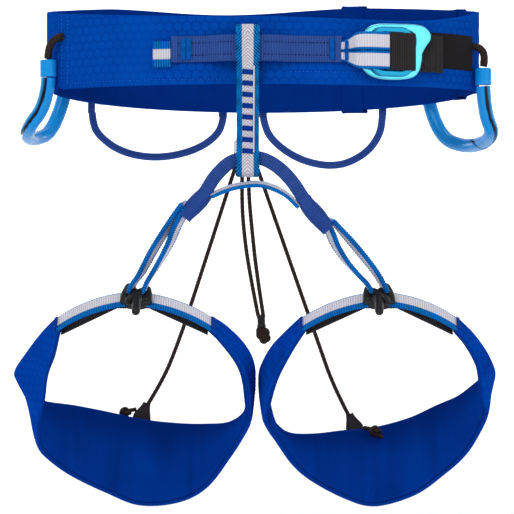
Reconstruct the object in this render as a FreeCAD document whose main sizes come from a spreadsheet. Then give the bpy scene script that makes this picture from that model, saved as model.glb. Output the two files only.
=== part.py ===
"""Sport climbing harness: padded belt, buckle, belay loop, bridge, leg loops, gear loops, rear elastics.

Millimetres.  The origin is the centre of the waist opening; +Z is up, the front of the harness faces -Y
and +X is towards the buckle.  Both leg loops are drawn in a frame of their own, ring axis along +Z and
front along -Y, and are then tipped about X so that their backs hang lower than their fronts.
"""
import FreeCAD, Part
import Sketcher
import math
import os
import re

Vector = FreeCAD.Vector
UP, ACROSS, FORWARD = Vector(0, 0, 1), Vector(1, 0, 0), Vector(0, 1, 0)

SIZES = {
    # belt: an ellipse in plan, low at the front and tall at the back
    "belt_centre": 4.5, "belt_half_width": 151.5, "belt_half_depth": 80,
    "belt_reach": 170, "ply_gap": 0.1, "liner_ply": 2.5, "core_ply": 2.8, "shell_ply": 1.5,
    "front_top": 17, "back_top": 40, "front_low": 28, "back_low": 38.5, "low_turn": 15,
    "panel_left": -138, "panel_right": 86, "overlap_left": 38,
    "patch_left": 111, "patch_right": 147, "patch_low": -14, "patch_high": 8, "patch_ply": 0.9,
    "band_ply": 1.2, "side_split": 3,
    # webbing
    "tie_width": 17.5, "tie_ply": 2.5, "tie_height": -4.6, "tape_ply": 2.4, "tape_width": 13,
    "bartack_ply": 0.6, "bartack_width": 6, "bartack_height": 14,
    "belay_width": 15.5, "belay_ply": 3, "belay_gap": 6.4, "belay_top": 10.9, "belay_low": -90,
    "belay_centre": -6.1, "belay_front": -94.3, "stitch_ply": 0.6, "stitch_width": 6.5,
    "stitch_height": 2.8, "stitch_count": 8, "stitch_pitch": 7.45, "stitch_start": -21,
    "arch_width": 9, "arch_ply": 3.4, "sleeve_ply": 14.4, "riser_tilt": 23.5,
    # buckle, drawn flat and then laid on the belt
    "buckle_turn": 20.5, "buckle_x": 93.5, "buckle_y": -70.6, "buckle_z": -5.8,
    "frame_ply": 3, "frame_height": 37.6, "frame_left": -27, "frame_right": 17.6, "frame_corner": 12,
    "frame_bar": 4.2, "frame_open_right": 11.4, "ear_across": 16.6, "ear_up": 10.2, "ear_radius": 8.4,
    "slider_left": -20, "slider_right": 11, "slider_height": 33.4, "slider_corner": 9,
    "slider_bar": 4.2, "slider_open_right": 7, "slider_ply": 2.2, "slider_gap": 0.3,
    "webbing_height": 25, "webbing_ply": 1.8,
    # gear loops
    "gear_radius": 5, "gear_sleeve_radius": 5.7, "gear_sleeve_long": 11.7, "gear_cord_radius": 2.6,
    "soft_loop_radius": 2.8, "anchor_ply": 1.6, "anchor_width": 12,
    "anchor_top": -16, "front_anchor_low": -23, "anchor_long": 29,
    # leg loops
    "leg_tilt": 46, "leg_x": 83.4, "leg_y": -4.5, "leg_z": -229.6,
    "leg_half_width": 80.2, "leg_half_depth": 80.4, "leg_power": 1.75, "leg_ply": 2.4,
    "band_end": 47, "end_half": 7, "side_low": 27, "side_high": 20, "rear_low": 44, "rear_high": 35,
    "leg_reach": 100, "strap_width": 11, "strap_ply": 1.4, "tab_width": 14, "tab_height": 15.5,
    "tab_ply": 1.8, "tab_y": 78.8, "knot_radius": 3.8,
    "keeper_radius": 10.4, "keeper_long": 21, "keeper_slot_high": 14.6, "keeper_slot_deep": 9.5,
    # rear elastics
    "elastic_radius": 1.5, "elastic_y": 80, "clip_x": -8, "clip_width": 18.5, "clip_height": 19,
    "clip_ply": 4, "clip_low": -70, "clip_bar": 3.2, "hanger_width": 11, "hanger_ply": 1.6,
    "tail_sleeve_radius": 3.4, "tail_sleeve_long": 8, "tail_knot_radius": 4.2,
}

doc = FreeCAD.newDocument("climbing_harness")
sheet = doc.addObject("Spreadsheet::Sheet", "Sizes")
for row, (alias, value) in enumerate(SIZES.items(), start=1):
    sheet.set(f"A{row}", alias)
    sheet.set(f"B{row}", str(value))
    sheet.setAlias(f"B{row}", alias)
doc.recompute()

nodes = []


def size(alias):
    """The value of one driving dimension."""
    return float(sheet.get(alias))


def bind(item, **formulas):
    """Bind properties of an object to the sheet; names in the formulas are the sheet's aliases."""
    for path, formula in formulas.items():
        item.setExpression(path.replace("__", "."), sheet_formula(formula))


def sheet_formula(formula):
    """Put the sheet's name before each of its aliases in a formula."""
    return re.sub(r"\b(" + "|".join(SIZES) + r")\b", r"Sizes.\1", formula)


def value_of(formula):
    """Work a formula of the sheet out as a number."""
    return float(sheet.evalExpression(sheet_formula(formula)))


def sub_part(item, label):
    """Name an object as one sub-part of the harness."""
    item.Label = label
    nodes.append(item)
    return item


def boolean(kind, name, base, tool):
    """A Part::Cut or Part::Common of two objects."""
    item = doc.addObject("Part::" + kind, name)
    item.Base, item.Tool = base, tool
    return item


def fuse(name, shapes):
    """Several separate solids kept together in one object."""
    item = doc.addObject("Part::Compound", name)
    item.Links = shapes
    return item


def box(name, low, high):
    """A Part::Box between two corners, each given as three formulas."""
    item = doc.addObject("Part::Box", name)
    for side, axis, a, b in zip(("Length", "Width", "Height"), "xyz", low, high):
        bind(item, **{side: f"({b}) - ({a})", f"Placement__Base__{axis}": a})
    return item


# ---------------------------------------------------------------- sketches and bodies

def new_body(name):
    """An empty PartDesign body."""
    return doc.addObject("PartDesign::Body", name)


def new_sketch(body, name, role):
    """A sketch on one of the body's own origin planes."""
    sketch = body.newObject("Sketcher::SketchObject", name)
    plane = next(p for p in body.Origin.OriginFeatures if p.Role == role)
    sketch.AttachmentSupport = [(plane, "")]
    sketch.MapMode = "FlatFace"
    return sketch


def polygon(sketch, corners):
    """A closed outline; each corner is two formulas, kept as the corner's distances from the axes."""
    first = sketch.GeometryCount
    spots = [Vector(value_of(a), value_of(b), 0) for a, b in corners]
    for spot, following in zip(spots, spots[1:] + spots[:1]):
        sketch.addGeometry(Part.LineSegment(spot, following), False)
    for i, (a, b) in enumerate(corners):
        line, following = first + i, first + (i + 1) % len(corners)
        sketch.addConstraint(Sketcher.Constraint("Coincident", line, 2, following, 1))
        for kind, formula in (("DistanceX", a), ("DistanceY", b)):
            number = sketch.addConstraint(Sketcher.Constraint(kind, line, 1, value_of(formula)))
            sketch.setExpression(f"Constraints[{number}]", sheet_formula(formula))


def rectangle(sketch, left, right, low, high):
    """A rectangle given by the formulas of its four sides."""
    polygon(sketch, [(left, low), (right, low), (right, high), (left, high)])


def beside(points, distance):
    """The points of a flat line moved sideways, each square to the line through its neighbours."""
    moved = []
    for i, (x, y) in enumerate(points):
        before, after = points[max(i - 1, 0)], points[min(i + 1, len(points) - 1)]
        run = math.hypot(after[0] - before[0], after[1] - before[1])
        moved.append((x - distance * (after[1] - before[1]) / run,
                      y + distance * (after[0] - before[0]) / run))
    return moved


def spline(points):
    """A smooth curve through points of the sketch plane."""
    curve = Part.BSplineCurve()
    curve.interpolate([Vector(x, y, 0) for x, y in points])
    return curve


def ribbon(sketch, points, thickness):
    """The outline of a strip of even thickness along a curve through the points."""
    sides = [beside(points, thickness / 2), beside(points, -thickness / 2)]
    for side in sides:
        sketch.addGeometry(spline(side), False)
    for end in (0, -1):
        ends = [Vector(*side[end], 0) for side in sides]
        sketch.addGeometry(Part.LineSegment(*ends), False)


def pad(body, sketch, length):
    """Pad a sketch by the same amount to both sides of its plane."""
    item = body.newObject("PartDesign::Pad", sketch.Name + "_pad")
    item.Profile, item.Midplane = sketch, True
    bind(item, Length=length)
    doc.recompute()
    return item


def pocket(body, sketch, length="2 * belt_reach"):
    """Cut a sketch through to both sides, and make sure that it takes material away."""
    before = body.Shape.Volume
    item = body.newObject("PartDesign::Pocket", sketch.Name + "_pocket")
    item.Profile, item.Midplane = sketch, True
    bind(item, Length=length)
    doc.recompute()
    if body.Shape.Volume > before - 1e-3:
        raise ValueError(f"{sketch.Name} cuts nothing")
    return item


def strip(label, role, points, thickness, width, placement=None):
    """A length of tape: a ribbon in one plane, padded to the tape's width across it."""
    body = new_body(label)
    sketch = new_sketch(body, label + "_line", role)
    ribbon(sketch, points, size(thickness))
    pad(body, sketch, width)
    if placement:
        body.Placement = placement
    return sub_part(body, label)


def plate(label, role, corners, thickness, placement):
    """A flat piece: a polygon padded to its thickness and moved into place."""
    body = new_body(label)
    sketch = new_sketch(body, label + "_outline", role)
    polygon(sketch, corners)
    pad(body, sketch, thickness)
    body.Placement = placement
    return body


# ---------------------------------------------------------------- tubes along a route

def rounded_wire(label, points):
    """Straight runs joined by tangent arcs as large as the two runs beside each corner allow."""
    spots = [Vector(*p) for p in points]
    edges, start, radii = [], spots[0], []
    for before, corner, after in zip(spots, spots[1:], spots[2:]):
        back, ahead = (before - corner), (after - corner)
        reach = 0.45 * min(back.Length, ahead.Length)
        turn = math.pi - back.getAngle(ahead)
        radii.append(reach / math.tan(turn / 2))
        back.normalize()
        ahead.normalize()
        first, last = corner + back * reach, corner + ahead * reach
        inward = back + ahead
        inward.normalize()
        centre = corner + inward * (reach / math.cos((math.pi - turn) / 2))
        edges.append(Part.LineSegment(start, first).toShape())
        edges.append(Part.Arc(first, centre - inward * radii[-1], last).toShape())
        start = last
    edges.append(Part.LineSegment(start, spots[-1]).toShape())
    print(f"{label}: length {sum(e.Length for e in edges):.1f}, radii", [round(r, 1) for r in radii])
    return Part.Wire(edges)


def tube(label, points, radius):
    """A round section swept along a rounded route."""
    wire = rounded_wire(label, points)
    route = doc.addObject("Part::Feature", label + "_route")
    route.Shape = wire
    section = doc.addObject("Part::Circle", label + "_section")
    start = Vector(*points[0])
    section.Placement = FreeCAD.Placement(start, FreeCAD.Rotation(UP, Vector(*points[1]) - start))
    bind(section, Radius=radius)
    sweep = doc.addObject("Part::Sweep", label)
    sweep.Sections, sweep.Solid, sweep.Frenet = [section], True, False
    sweep.Spine = (route, [f"Edge{i + 1}" for i in range(len(wire.Edges))])
    doc.recompute()
    expected = math.pi * size(radius) ** 2 * wire.Length
    if abs(sweep.Shape.Volume / expected - 1) > 0.02:
        raise ValueError(f"{label}: volume {sweep.Shape.Volume:.0f}, expected {expected:.0f}")
    return sub_part(sweep, label)


# ---------------------------------------------------------------- belt

def belt_ring(name, inner, outer):
    """An elliptic wall; inner and outer are how far its faces stand outside the belt's own surface.

    The curves are turned half round, so that their ends meet on the left, in the middle of the back shell.
    """
    walls = []
    for part, grow in (("outside", outer), ("inside", inner)):
        curve = doc.addObject("Part::Ellipse", f"{name}_{part}_curve")
        curve.Placement = at(angle=180)
        bind(curve, MajorRadius=f"belt_half_width + ({grow})", MinorRadius=f"belt_half_depth + ({grow})",
             Placement__Base__x="belt_centre", Placement__Base__z="-belt_reach / 2")
        wall = doc.addObject("Part::Extrusion", f"{name}_{part}")
        wall.Base, wall.DirMode, wall.Dir, wall.Solid = curve, "Custom", UP, True
        bind(wall, LengthFwd="belt_reach")
        walls.append(wall)
    return boolean("Cut", name + "_ring", *walls)


BELT_BANDS = [(64.5, 80.9, -37.2, 39.8), (140.7, 150.7, -31, 33.4)]
REAR_ANCHORS = [(-118.5, -39.4), (-25, -40.2), (4.4, -40.2), (91, -39.7)]
FRONT_ANCHORS = {"left": ("-belt_reach", 36.0), "right": ("0", 56.0)}


def belt_side_profile():
    """The belt seen from the side: its top rises to the back, its lower edge drops behind the hips."""
    body = new_body("belt_side_profile")
    sketch = new_sketch(body, "belt_side_outline", "YZ_Plane")
    reach = "1.2 * belt_half_depth"
    polygon(sketch, [(f"-{reach}", "-front_low"), ("low_turn", "-front_low"), (reach, "-back_low - 1"),
                     (reach, "back_top + 2"), (f"-{reach}", "front_top - 2")])
    pad(body, sketch, "2.4 * belt_half_width")
    return body


def reach_box(name, left="-belt_reach", near="-belt_reach", right="belt_reach", far="belt_reach"):
    """A box over the belt's whole height between these sides."""
    return box(name, (left, near, "-belt_reach"), (right, far, "belt_reach"))


def make_belt():
    """The belt's plies from inside to outside, with the front panels and what is sewn on them."""
    profile = belt_side_profile()
    liner_in = "-(liner_ply + core_ply + shell_ply + 2 * ply_gap)"
    core_in, core_out = "-(core_ply + shell_ply + ply_gap)", "-(shell_ply + ply_gap)"

    liner = belt_ring("liner", liner_in, "-(core_ply + shell_ply + 2 * ply_gap)")
    sub_part(boolean("Common", "belt_liner", liner, profile), "belt_liner")

    under = reach_box("core_gap", left="overlap_left - ply_gap", far="side_split")
    core = boolean("Cut", "core_open", belt_ring("core", core_in, core_out), under)
    sub_part(boolean("Common", "belt_core", core, profile), "belt_core")

    side = reach_box("right_side", left="overlap_left", far="side_split - ply_gap")
    right = boolean("Common", "right_wall", belt_ring("right", core_in, core_out), side)
    sub_part(boolean("Common", "right_front_panel", right, profile), "right_front_panel")

    front = reach_box("front_side", left="panel_left", right="panel_right", far="side_split")
    long_panel = boolean("Common", "long_wall", belt_ring("long", "-shell_ply", "0"), front)
    sub_part(boolean("Common", "long_front_panel", long_panel, profile), "long_front_panel")

    away = reach_box("front_away", left="panel_left - ply_gap", far="side_split + ply_gap")
    back = boolean("Cut", "back_wall", belt_ring("back", "-shell_ply", "0"), away)
    sub_part(boolean("Common", "back_outer_shell", back, profile), "back_outer_shell")

    cell = box("patch_cell", ("patch_left", "-belt_reach", "patch_low"), ("patch_right", "0", "patch_high"))
    patch = belt_ring("patch", f"{core_out} + ply_gap", f"{core_out} + ply_gap + patch_ply")
    sub_part(boolean("Common", "strap_patch", patch, cell), "strap_patch")

    bands = []
    for i, (left, right, low, high) in enumerate(BELT_BANDS):
        cell = box(f"band_cell_{i}", (str(left), "0", str(low)), (str(right), "belt_reach", str(high)))
        ring = belt_ring(f"band_{i}", "ply_gap", "ply_gap + band_ply")
        bands.append(boolean("Common", f"belt_band_{i}", ring, cell))
    sub_part(fuse("belt_keeper_bands", bands), "belt_keeper_bands")


def make_anchors():
    """Small webbing tabs outside the belt that the gear loops are sewn to."""
    rear = []
    for i, (x, low) in enumerate(REAR_ANCHORS):
        cell = box(f"anchor_cell_{i}", (f"{x} - anchor_width / 4", "0", str(low)),
                   (f"{x} + anchor_width / 4", "belt_reach", "anchor_top"))
        ring = belt_ring(f"anchor_{i}", "ply_gap", "ply_gap + anchor_ply")
        rear.append(boolean("Common", f"rear_anchor_{i}", ring, cell))
    sub_part(fuse("rear_gear_anchors", rear), "rear_gear_anchors")
    for side, (x, y) in FRONT_ANCHORS.items():
        cell = box(f"front_anchor_cell_{side}", (x, f"{y} - anchor_width / 2", "front_anchor_low"),
                   (f"{x} + belt_reach", f"{y} + anchor_width / 2", "front_anchor_low + anchor_long"))
        ring = belt_ring(f"front_anchor_{side}", "ply_gap", "ply_gap + anchor_ply")
        sub_part(boolean("Common", f"front_gear_anchor_{side}", ring, cell), f"front_gear_anchor_{side}")


# ---------------------------------------------------------------- tie-in strap, buckle tape, bridge

TIE_LINE = [(-57, -74.8), (-44, -77.4), (-33, -80.4), (-22, -87.2), (-6, -88.4),
            (10, -87.2), (21, -82.4), (33, -80.6), (45, -78.9), (56, -77)]
TIE_END_LINE = [(-69.5, -71.6), (-63, -73.3), (-57.3, -74.7)]
BUCKLE_TAPE_LINE = [(-34.6, 5.4), (-31.6, 2), (-29.2, -2.8), (-22.5, -6), (-14, -6.1), (-8, -6)]
BUCKLE_WEBBING_LINE = [(-6, 2.9), (6, 3.1), (19, 3.6), (27, 4.6), (33, 6.4), (37.5, 8.6)]
ARCH_LINE = [(-34, -99.9), (-31.2, -95), (-27, -89), (-19.5, -81.6), (-12.5, -78.4), (-5, -77),
             (2.5, -77.8), (10, -81), (18, -87.2), (25, -95.5), (31.8, -106.2)]
LOWER_LINE = [(-28.4, -101.6), (-16.5, -97), (-2.6, -94.8), (7.3, -96), (18.5, -101.2), (26.2, -108.3)]
RISER_LINES = {
    "left": [[(-53.1, 2.6), (-58.8, -6.9), (-68.8, -24), (-77.5, -40.9), (-83, -49)],
             [(-50, -0.4), (-54.2, -9.5), (-58.4, -20.3), (-65.5, -33.7), (-72.2, -45), (-74.2, -49)]],
    "right": [[(54.6, -8.6), (62, -17.6), (70.2, -28), (79, -40), (84, -48.6)],
              [(48.6, -11.2), (52.4, -21), (59.4, -32.4), (68, -42.6), (73.6, -48.6)]],
}
SLEEVES = {"left": [(-39.9, -96.2), (-28.7, -104.6), (-41, -118.4), (-52.8, -110.8)],
           "right": [(37.4, -103.4), (51.4, -121), (41.7, -126.4), (26.8, -109.9)]}
BRIDGE_Y = -88.3


def at(x=0.0, y=0.0, z=0.0, axis=UP, angle=0.0):
    """A placement: a turn about an axis through the piece's own origin, then a move."""
    return FreeCAD.Placement(Vector(x, y, z), FreeCAD.Rotation(axis, angle))


def text(points):
    """Plain numbers as the sketch's formulas."""
    return [(str(a), str(b)) for a, b in points]


def make_tie_in():
    """The ribbed strap across the front that the belay loop hangs on, and its sewn ends."""
    strap = strip("tie_in_strap", "XY_Plane", TIE_LINE, "tie_ply", "tie_width")
    strap.Placement = at(z=size("tie_height"))
    end = strip("tie_in_end_tape", "XY_Plane", TIE_END_LINE, "tape_ply", "tie_width")
    end.Placement = at(z=size("tie_height") - 3)
    tacks = []
    for i, (x, y, turn) in enumerate(((-49, -78.6, -13), (50, -79.9, 14))):
        tack = plate(f"tie_in_bartack_{i}", "XZ_Plane",
                     [("-bartack_width / 2", "-bartack_height / 2"), ("bartack_width / 2", "-bartack_height / 2"),
                      ("bartack_width / 2", "bartack_height / 2"), ("-bartack_width / 2", "bartack_height / 2")],
                     "bartack_ply", at(x, y, size("tie_height"), UP, turn))
        tacks.append(tack)
    sub_part(fuse("tie_in_bartacks", tacks), "tie_in_bartacks")


def make_belay_loop():
    """A sewn loop round the tie-in strap and the bridge, seen edge-on as a racetrack, with its stitch bars."""
    body = new_body("belay_loop")
    depth = 2 * size("belay_ply") + size("belay_gap")
    middle = size("belay_front") + depth / 2
    for name, radius in (("belay_outside", depth / 2), ("belay_inside", size("belay_gap") / 2)):
        sketch = new_sketch(body, name, "YZ_Plane")
        top, low = size("belay_top") - depth / 2, size("belay_low") + depth / 2
        near, far = middle - radius, middle + radius
        for end, direction in ((top, 1), (low, -1)):
            sketch.addGeometry(Part.Arc(Vector(near, end, 0), Vector(middle, end + direction * radius, 0),
                                        Vector(far, end, 0)), False)
        for side in (near, far):
            sketch.addGeometry(Part.LineSegment(Vector(side, low, 0), Vector(side, top, 0)), False)
        if name == "belay_outside":
            pad(body, sketch, "belay_width")
        else:
            pocket(body, sketch)
    body.Placement = at(x=size("belay_centre"))
    sub_part(body, "belay_loop")
    bars = []
    for i in range(int(size("stitch_count"))):
        middle = f"stitch_start - {i} * stitch_pitch"
        bars.append(box(f"belay_stitch_{i}",
                        ("belay_centre - stitch_width / 2", "belay_front - stitch_ply", f"{middle} - stitch_height / 2"),
                        ("belay_centre + stitch_width / 2", "belay_front", f"{middle} + stitch_height / 2")))
    sub_part(fuse("belay_stitch_bars", bars), "belay_stitch_bars")


def make_bridge():
    """Arch through the belay loop, tape under it, the sleeves that join them, and the paired risers."""
    strip("bridge_arch", "XZ_Plane", ARCH_LINE, "arch_width", "arch_ply", at(y=BRIDGE_Y))
    strip("bridge_lower_tape", "XZ_Plane", LOWER_LINE, "tape_ply", "tape_width", at(y=BRIDGE_Y))
    for side, corners in SLEEVES.items():
        sleeve = plate(f"bridge_sleeve_{side}", "XZ_Plane", text(corners), "sleeve_ply", at(y=BRIDGE_Y))
        sub_part(sleeve, f"bridge_sleeve_{side}")
    tilt = size("riser_tilt")
    for side, lines in RISER_LINES.items():
        body = new_body(f"riser_{side}")
        for i, line in enumerate(lines):
            sketch = new_sketch(body, f"riser_{side}_{i}", "XZ_Plane")
            ribbon(sketch, line, size("tape_ply"))
            pad(body, sketch, "tape_width")
        body.Placement = at(0, -84, -116, ACROSS, tilt)
        sub_part(body, f"riser_{side}")


# ---------------------------------------------------------------- buckle

def rounded_outline(body, name, left, right, height, radius):
    """A rounded rectangle in the XZ plane."""
    sketch = new_sketch(body, name, "XZ_Plane")
    half = height / 2
    corners = [(right - radius, half - radius, 0), (left + radius, half - radius, 90),
               (left + radius, radius - half, 180), (right - radius, radius - half, 270)]
    spots = []
    for x, z, start in corners:
        turns = [math.radians(start + step) for step in (0, 45, 90)]
        arms = [Vector(x + radius * math.cos(turn), z + radius * math.sin(turn), 0) for turn in turns]
        sketch.addGeometry(Part.Arc(*arms), False)
        spots.append((arms[0], arms[2]))
    for (_, leave), (enter, _) in zip(spots, spots[1:] + spots[:1]):
        sketch.addGeometry(Part.LineSegment(leave, enter), False)
    return sketch


def make_buckle():
    """Two metal frames on the belt, the tape that holds them and the webbing that runs through them."""
    lay = at(size("buckle_x"), size("buckle_y"), size("buckle_z"), UP, size("buckle_turn"))
    for name in ("frame", "slider"):
        body = new_body(f"buckle_{name}")
        left, right, height, corner, bar, open_right = (
            size(f"{name}_{word}") for word in ("left", "right", "height", "corner", "bar", "open_right"))
        pad(body, rounded_outline(body, f"{name}_outline", left, right, height, corner), f"{name}_ply")
        if name == "frame":
            ear = new_sketch(body, "frame_ear", "XZ_Plane")
            ear.addGeometry(Part.Circle(Vector(size("ear_across"), size("ear_up"), 0), UP, size("ear_radius")),
                            False)
            pad(body, ear, "frame_ply")
        pocket(body, rounded_outline(body, f"{name}_opening", left + bar, open_right, height - 2 * bar,
                                     corner - bar))
        body.Placement = lay
        if name == "slider":
            forward = (size("frame_ply") + size("slider_ply")) / 2 + size("slider_gap")
            body.Placement = lay.multiply(at(y=-forward))
        sub_part(body, f"buckle_{name}")

    strip("buckle_tape", "XY_Plane", BUCKLE_TAPE_LINE, "tape_ply", "webbing_height", lay)
    strip("buckle_webbing", "XY_Plane", BUCKLE_WEBBING_LINE, "webbing_ply", "webbing_height", lay)


# ---------------------------------------------------------------- gear loops

FRONT_GEAR = {
    "left": [(-143.4, -30, -20), (-144.5, -29.5, -38), (-160, -22, -56), (-159, 8, -61.5),
             (-144, 34, -53), (-137.2, 36.5, -24)],
    "right": [(156.3, -22, -25), (157, -21, -43), (165.5, -10, -59.5), (151, 28, -66),
              (129, 53.5, -55), (123.5, 57, -24)],
}
FRONT_GEAR_TOP = {"left": (-143.4, -30, -7.6), "right": (156.3, -22, -12.6)}
FRONT_GEAR_CORD = {
    "left": [(-133.4, -33.6, 8), (-137.4, -37.1, 7.2), (-143, -34.6, 0.5), (-143.4, -31, -6.2)],
    "right": [(149.7, -20.2, 2.5), (154.2, -22.6, 1.6), (157.4, -23.4, -4.5), (156.3, -22, -11.4)],
}
REAR_GEAR = {
    "left": [(-119, 52.6, -41), (-116, 54, -54), (-99, 59.5, -67), (-73, 66, -71.4),
             (-46, 73.5, -65.5), (-29, 78, -54), (-24.6, 81, -41.8)],
    "right": [(4.4, 82.4, -41.8), (10, 80.5, -57), (31.5, 76.5, -72.5), (58.6, 71, -77.6),
              (79.5, 67.4, -68), (89.6, 66, -54), (91.4, 66.4, -42)],
}


def make_gear_loops():
    """Moulded loops on cords at the front, soft sleeved loops at the back."""
    for side in ("left", "right"):
        tube(f"front_gear_loop_{side}", FRONT_GEAR[side], "gear_radius")
        sleeve = doc.addObject("Part::Cylinder", f"front_gear_sleeve_{side}")
        bind(sleeve, Radius="gear_sleeve_radius", Height="gear_sleeve_long")
        top = Vector(*FRONT_GEAR_TOP[side])
        sleeve.Placement = at(top.x, top.y, top.z - size("gear_sleeve_long"))
        sub_part(sleeve, f"front_gear_sleeve_{side}")
        tube(f"front_gear_cord_{side}", FRONT_GEAR_CORD[side], "gear_cord_radius")
        tube(f"rear_gear_loop_{side}", REAR_GEAR[side], "soft_loop_radius")


# ---------------------------------------------------------------- leg loops

WALL_SPANS = 14
REAR_TABS = {"left": (-86.0, -268, (-97, 79.7, -257.5)), "right": (73.0, -276, (85.5, 59.5, -269.5))}


def leg_point(angle, grow):
    """A point of the leg ring's plan, a power-law oval, at an angle from +X, grown by a distance."""
    power = 2 / size("leg_power")
    cosine, sine = math.cos(math.radians(angle)), math.sin(math.radians(angle))
    return ((size("leg_half_width") + grow) * math.copysign(abs(cosine) ** power, cosine),
            (size("leg_half_depth") + grow) * math.copysign(abs(sine) ** power, sine))


def leg_wall(sketch, start, stop, inner, outer):
    """A stretch of the leg ring's wall between two angles and two growths of its plan."""
    angles = [start + (stop - start) * i / WALL_SPANS for i in range(WALL_SPANS + 1)]
    sides = [[leg_point(a, grow) for a in angles] for grow in (inner, outer)]
    for side in sides:
        sketch.addGeometry(spline(side), False)
    for end in (0, -1):
        sketch.addGeometry(Part.LineSegment(*[Vector(*side[end], 0) for side in sides]), False)


def make_leg_loop(side, sign):
    """One leg loop: padded band round the thigh, tape and strap across its front, keeper and rear tab."""
    place = at(sign * size("leg_x"), size("leg_y"), size("leg_z"), ACROSS, -size("leg_tilt"))
    ply = size("leg_ply")
    end = size("band_end")
    for layer, inner, outer in (("liner", -ply, -0.05), ("shell", 0.05, ply)):
        body = new_body(f"leg_{layer}_{side}")
        sketch = new_sketch(body, f"leg_{layer}_plan_{side}", "XY_Plane")
        leg_wall(sketch, -end, 180 + end, inner, outer)
        pad(body, sketch, "leg_reach")
        waste = new_sketch(body, f"leg_{layer}_taper_{side}", "YZ_Plane")
        reach = "1.2 * leg_half_depth"
        polygon(waste, [(f"-{reach}", "end_half"), ("-leg_half_depth / 2", "end_half"), ("0", "side_high"),
                        ("leg_half_depth / 2", "rear_high"), (reach, "rear_high"),
                        (reach, "leg_reach"), (f"-{reach}", "leg_reach")])
        polygon(waste, [(f"-{reach}", "-end_half"), (f"-{reach}", "-leg_reach"), (reach, "-leg_reach"),
                        (reach, "-rear_low"), ("leg_half_depth / 2", "-rear_low + 4"), ("0", "-side_low"),
                        ("-leg_half_depth / 2", "-end_half")])
        pocket(body, waste)
        body.Placement = place
        sub_part(body, f"leg_{layer}_{side}")

    tape = new_body(f"leg_tape_{side}")
    sketch = new_sketch(tape, f"leg_tape_plan_{side}", "XY_Plane")
    leg_wall(sketch, 181 + end, 359 - end, -0.6, 1.6)
    pad(tape, sketch, "tape_width")
    tape.Placement = place
    sub_part(tape, f"leg_tape_{side}")

    left, right = leg_point(181 + end, -5.4), leg_point(359 - end, -5.4)
    peak, flat = leg_point(270, -3.4)[1], size("keeper_long") / 2 + 0.5
    strap = new_body(f"leg_strap_{side}")
    sketch = new_sketch(strap, f"leg_strap_plan_{side}", "XY_Plane")
    deep = size("strap_ply")
    line = [left, (-flat, peak), (flat, peak), right]
    polygon(sketch, text(line + [(x, y + deep) for x, y in reversed(line)]))
    pad(strap, sketch, "strap_width")
    strap.Placement = place
    sub_part(strap, f"leg_strap_{side}")

    tacks = []
    for i, angle in enumerate((180 + end, 360 - end)):
        x, y = leg_point(angle, ply + 0.4)
        tack = plate(f"leg_bartack_{side}_{i}", "XZ_Plane", text([(-2, -5), (2, -5), (2, 5), (-2, 5)]), "bartack_ply",
                     place.multiply(at(x, y, 0, UP, -37 if x < 0 else 37)))
        tacks.append(tack)
    sub_part(fuse(f"leg_bartacks_{side}", tacks), f"leg_bartacks_{side}")

    keeper = new_body(f"leg_keeper_{side}")
    sketch = new_sketch(keeper, f"leg_keeper_round_{side}", "YZ_Plane")
    sketch.addGeometry(Part.Circle(Vector(0, 0, 0), UP, size("keeper_radius")), False)
    number = sketch.addConstraint(Sketcher.Constraint("Radius", 0, size("keeper_radius")))
    sketch.setExpression(f"Constraints[{number}]", sheet_formula("keeper_radius"))
    pad(keeper, sketch, "keeper_long")
    slot = new_sketch(keeper, f"leg_keeper_slot_{side}", "YZ_Plane")
    rectangle(slot, "-keeper_slot_deep / 2 + 1.2", "keeper_slot_deep / 2 + 1.2",
              "-keeper_slot_high / 2", "keeper_slot_high / 2")
    pocket(keeper, slot)
    keeper.Placement = place.multiply(at(y=-size("leg_half_depth")))
    sub_part(keeper, f"leg_keeper_{side}")

    x, low, knot_at = REAR_TABS[side]
    tab = box(f"elastic_tab_{side}", (f"{x} - tab_width / 2", "tab_y", str(low)),
              (f"{x} + tab_width / 2", "tab_y + tab_ply", f"{low} + tab_height"))
    sub_part(tab, f"elastic_tab_{side}")
    knot = doc.addObject("Part::Sphere", f"elastic_knot_{side}")
    bind(knot, Radius="knot_radius")
    knot.Placement = at(*knot_at)
    sub_part(knot, f"elastic_knot_{side}")


# ---------------------------------------------------------------- rear elastics

ELASTICS = {
    "left": [(-13.8, 80, -70.4), (-48.5, 80, -178.5), (-58, 80, -206), (-68.5, 79.8, -232.5), (-80.2, 79.7, -251.2)],
    "right": [(-2.2, 80, -70.4), (46.5, 80, -210.5), (56.5, 79.8, -238.5), (67.3, 79.7, -259.3)],
}
TAILS = {
    "left": [(-10.6, 80, -71.2), (-11.4, 80, -96), (-9.8, 80, -124), (-5.6, 80, -154), (0.8, 80, -186)],
    "right": [(-6.6, 80, -71.2), (-6.2, 80, -96), (-3.6, 80, -124), (-0.4, 80, -154), (4.6, 80, -186)],
}


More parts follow.
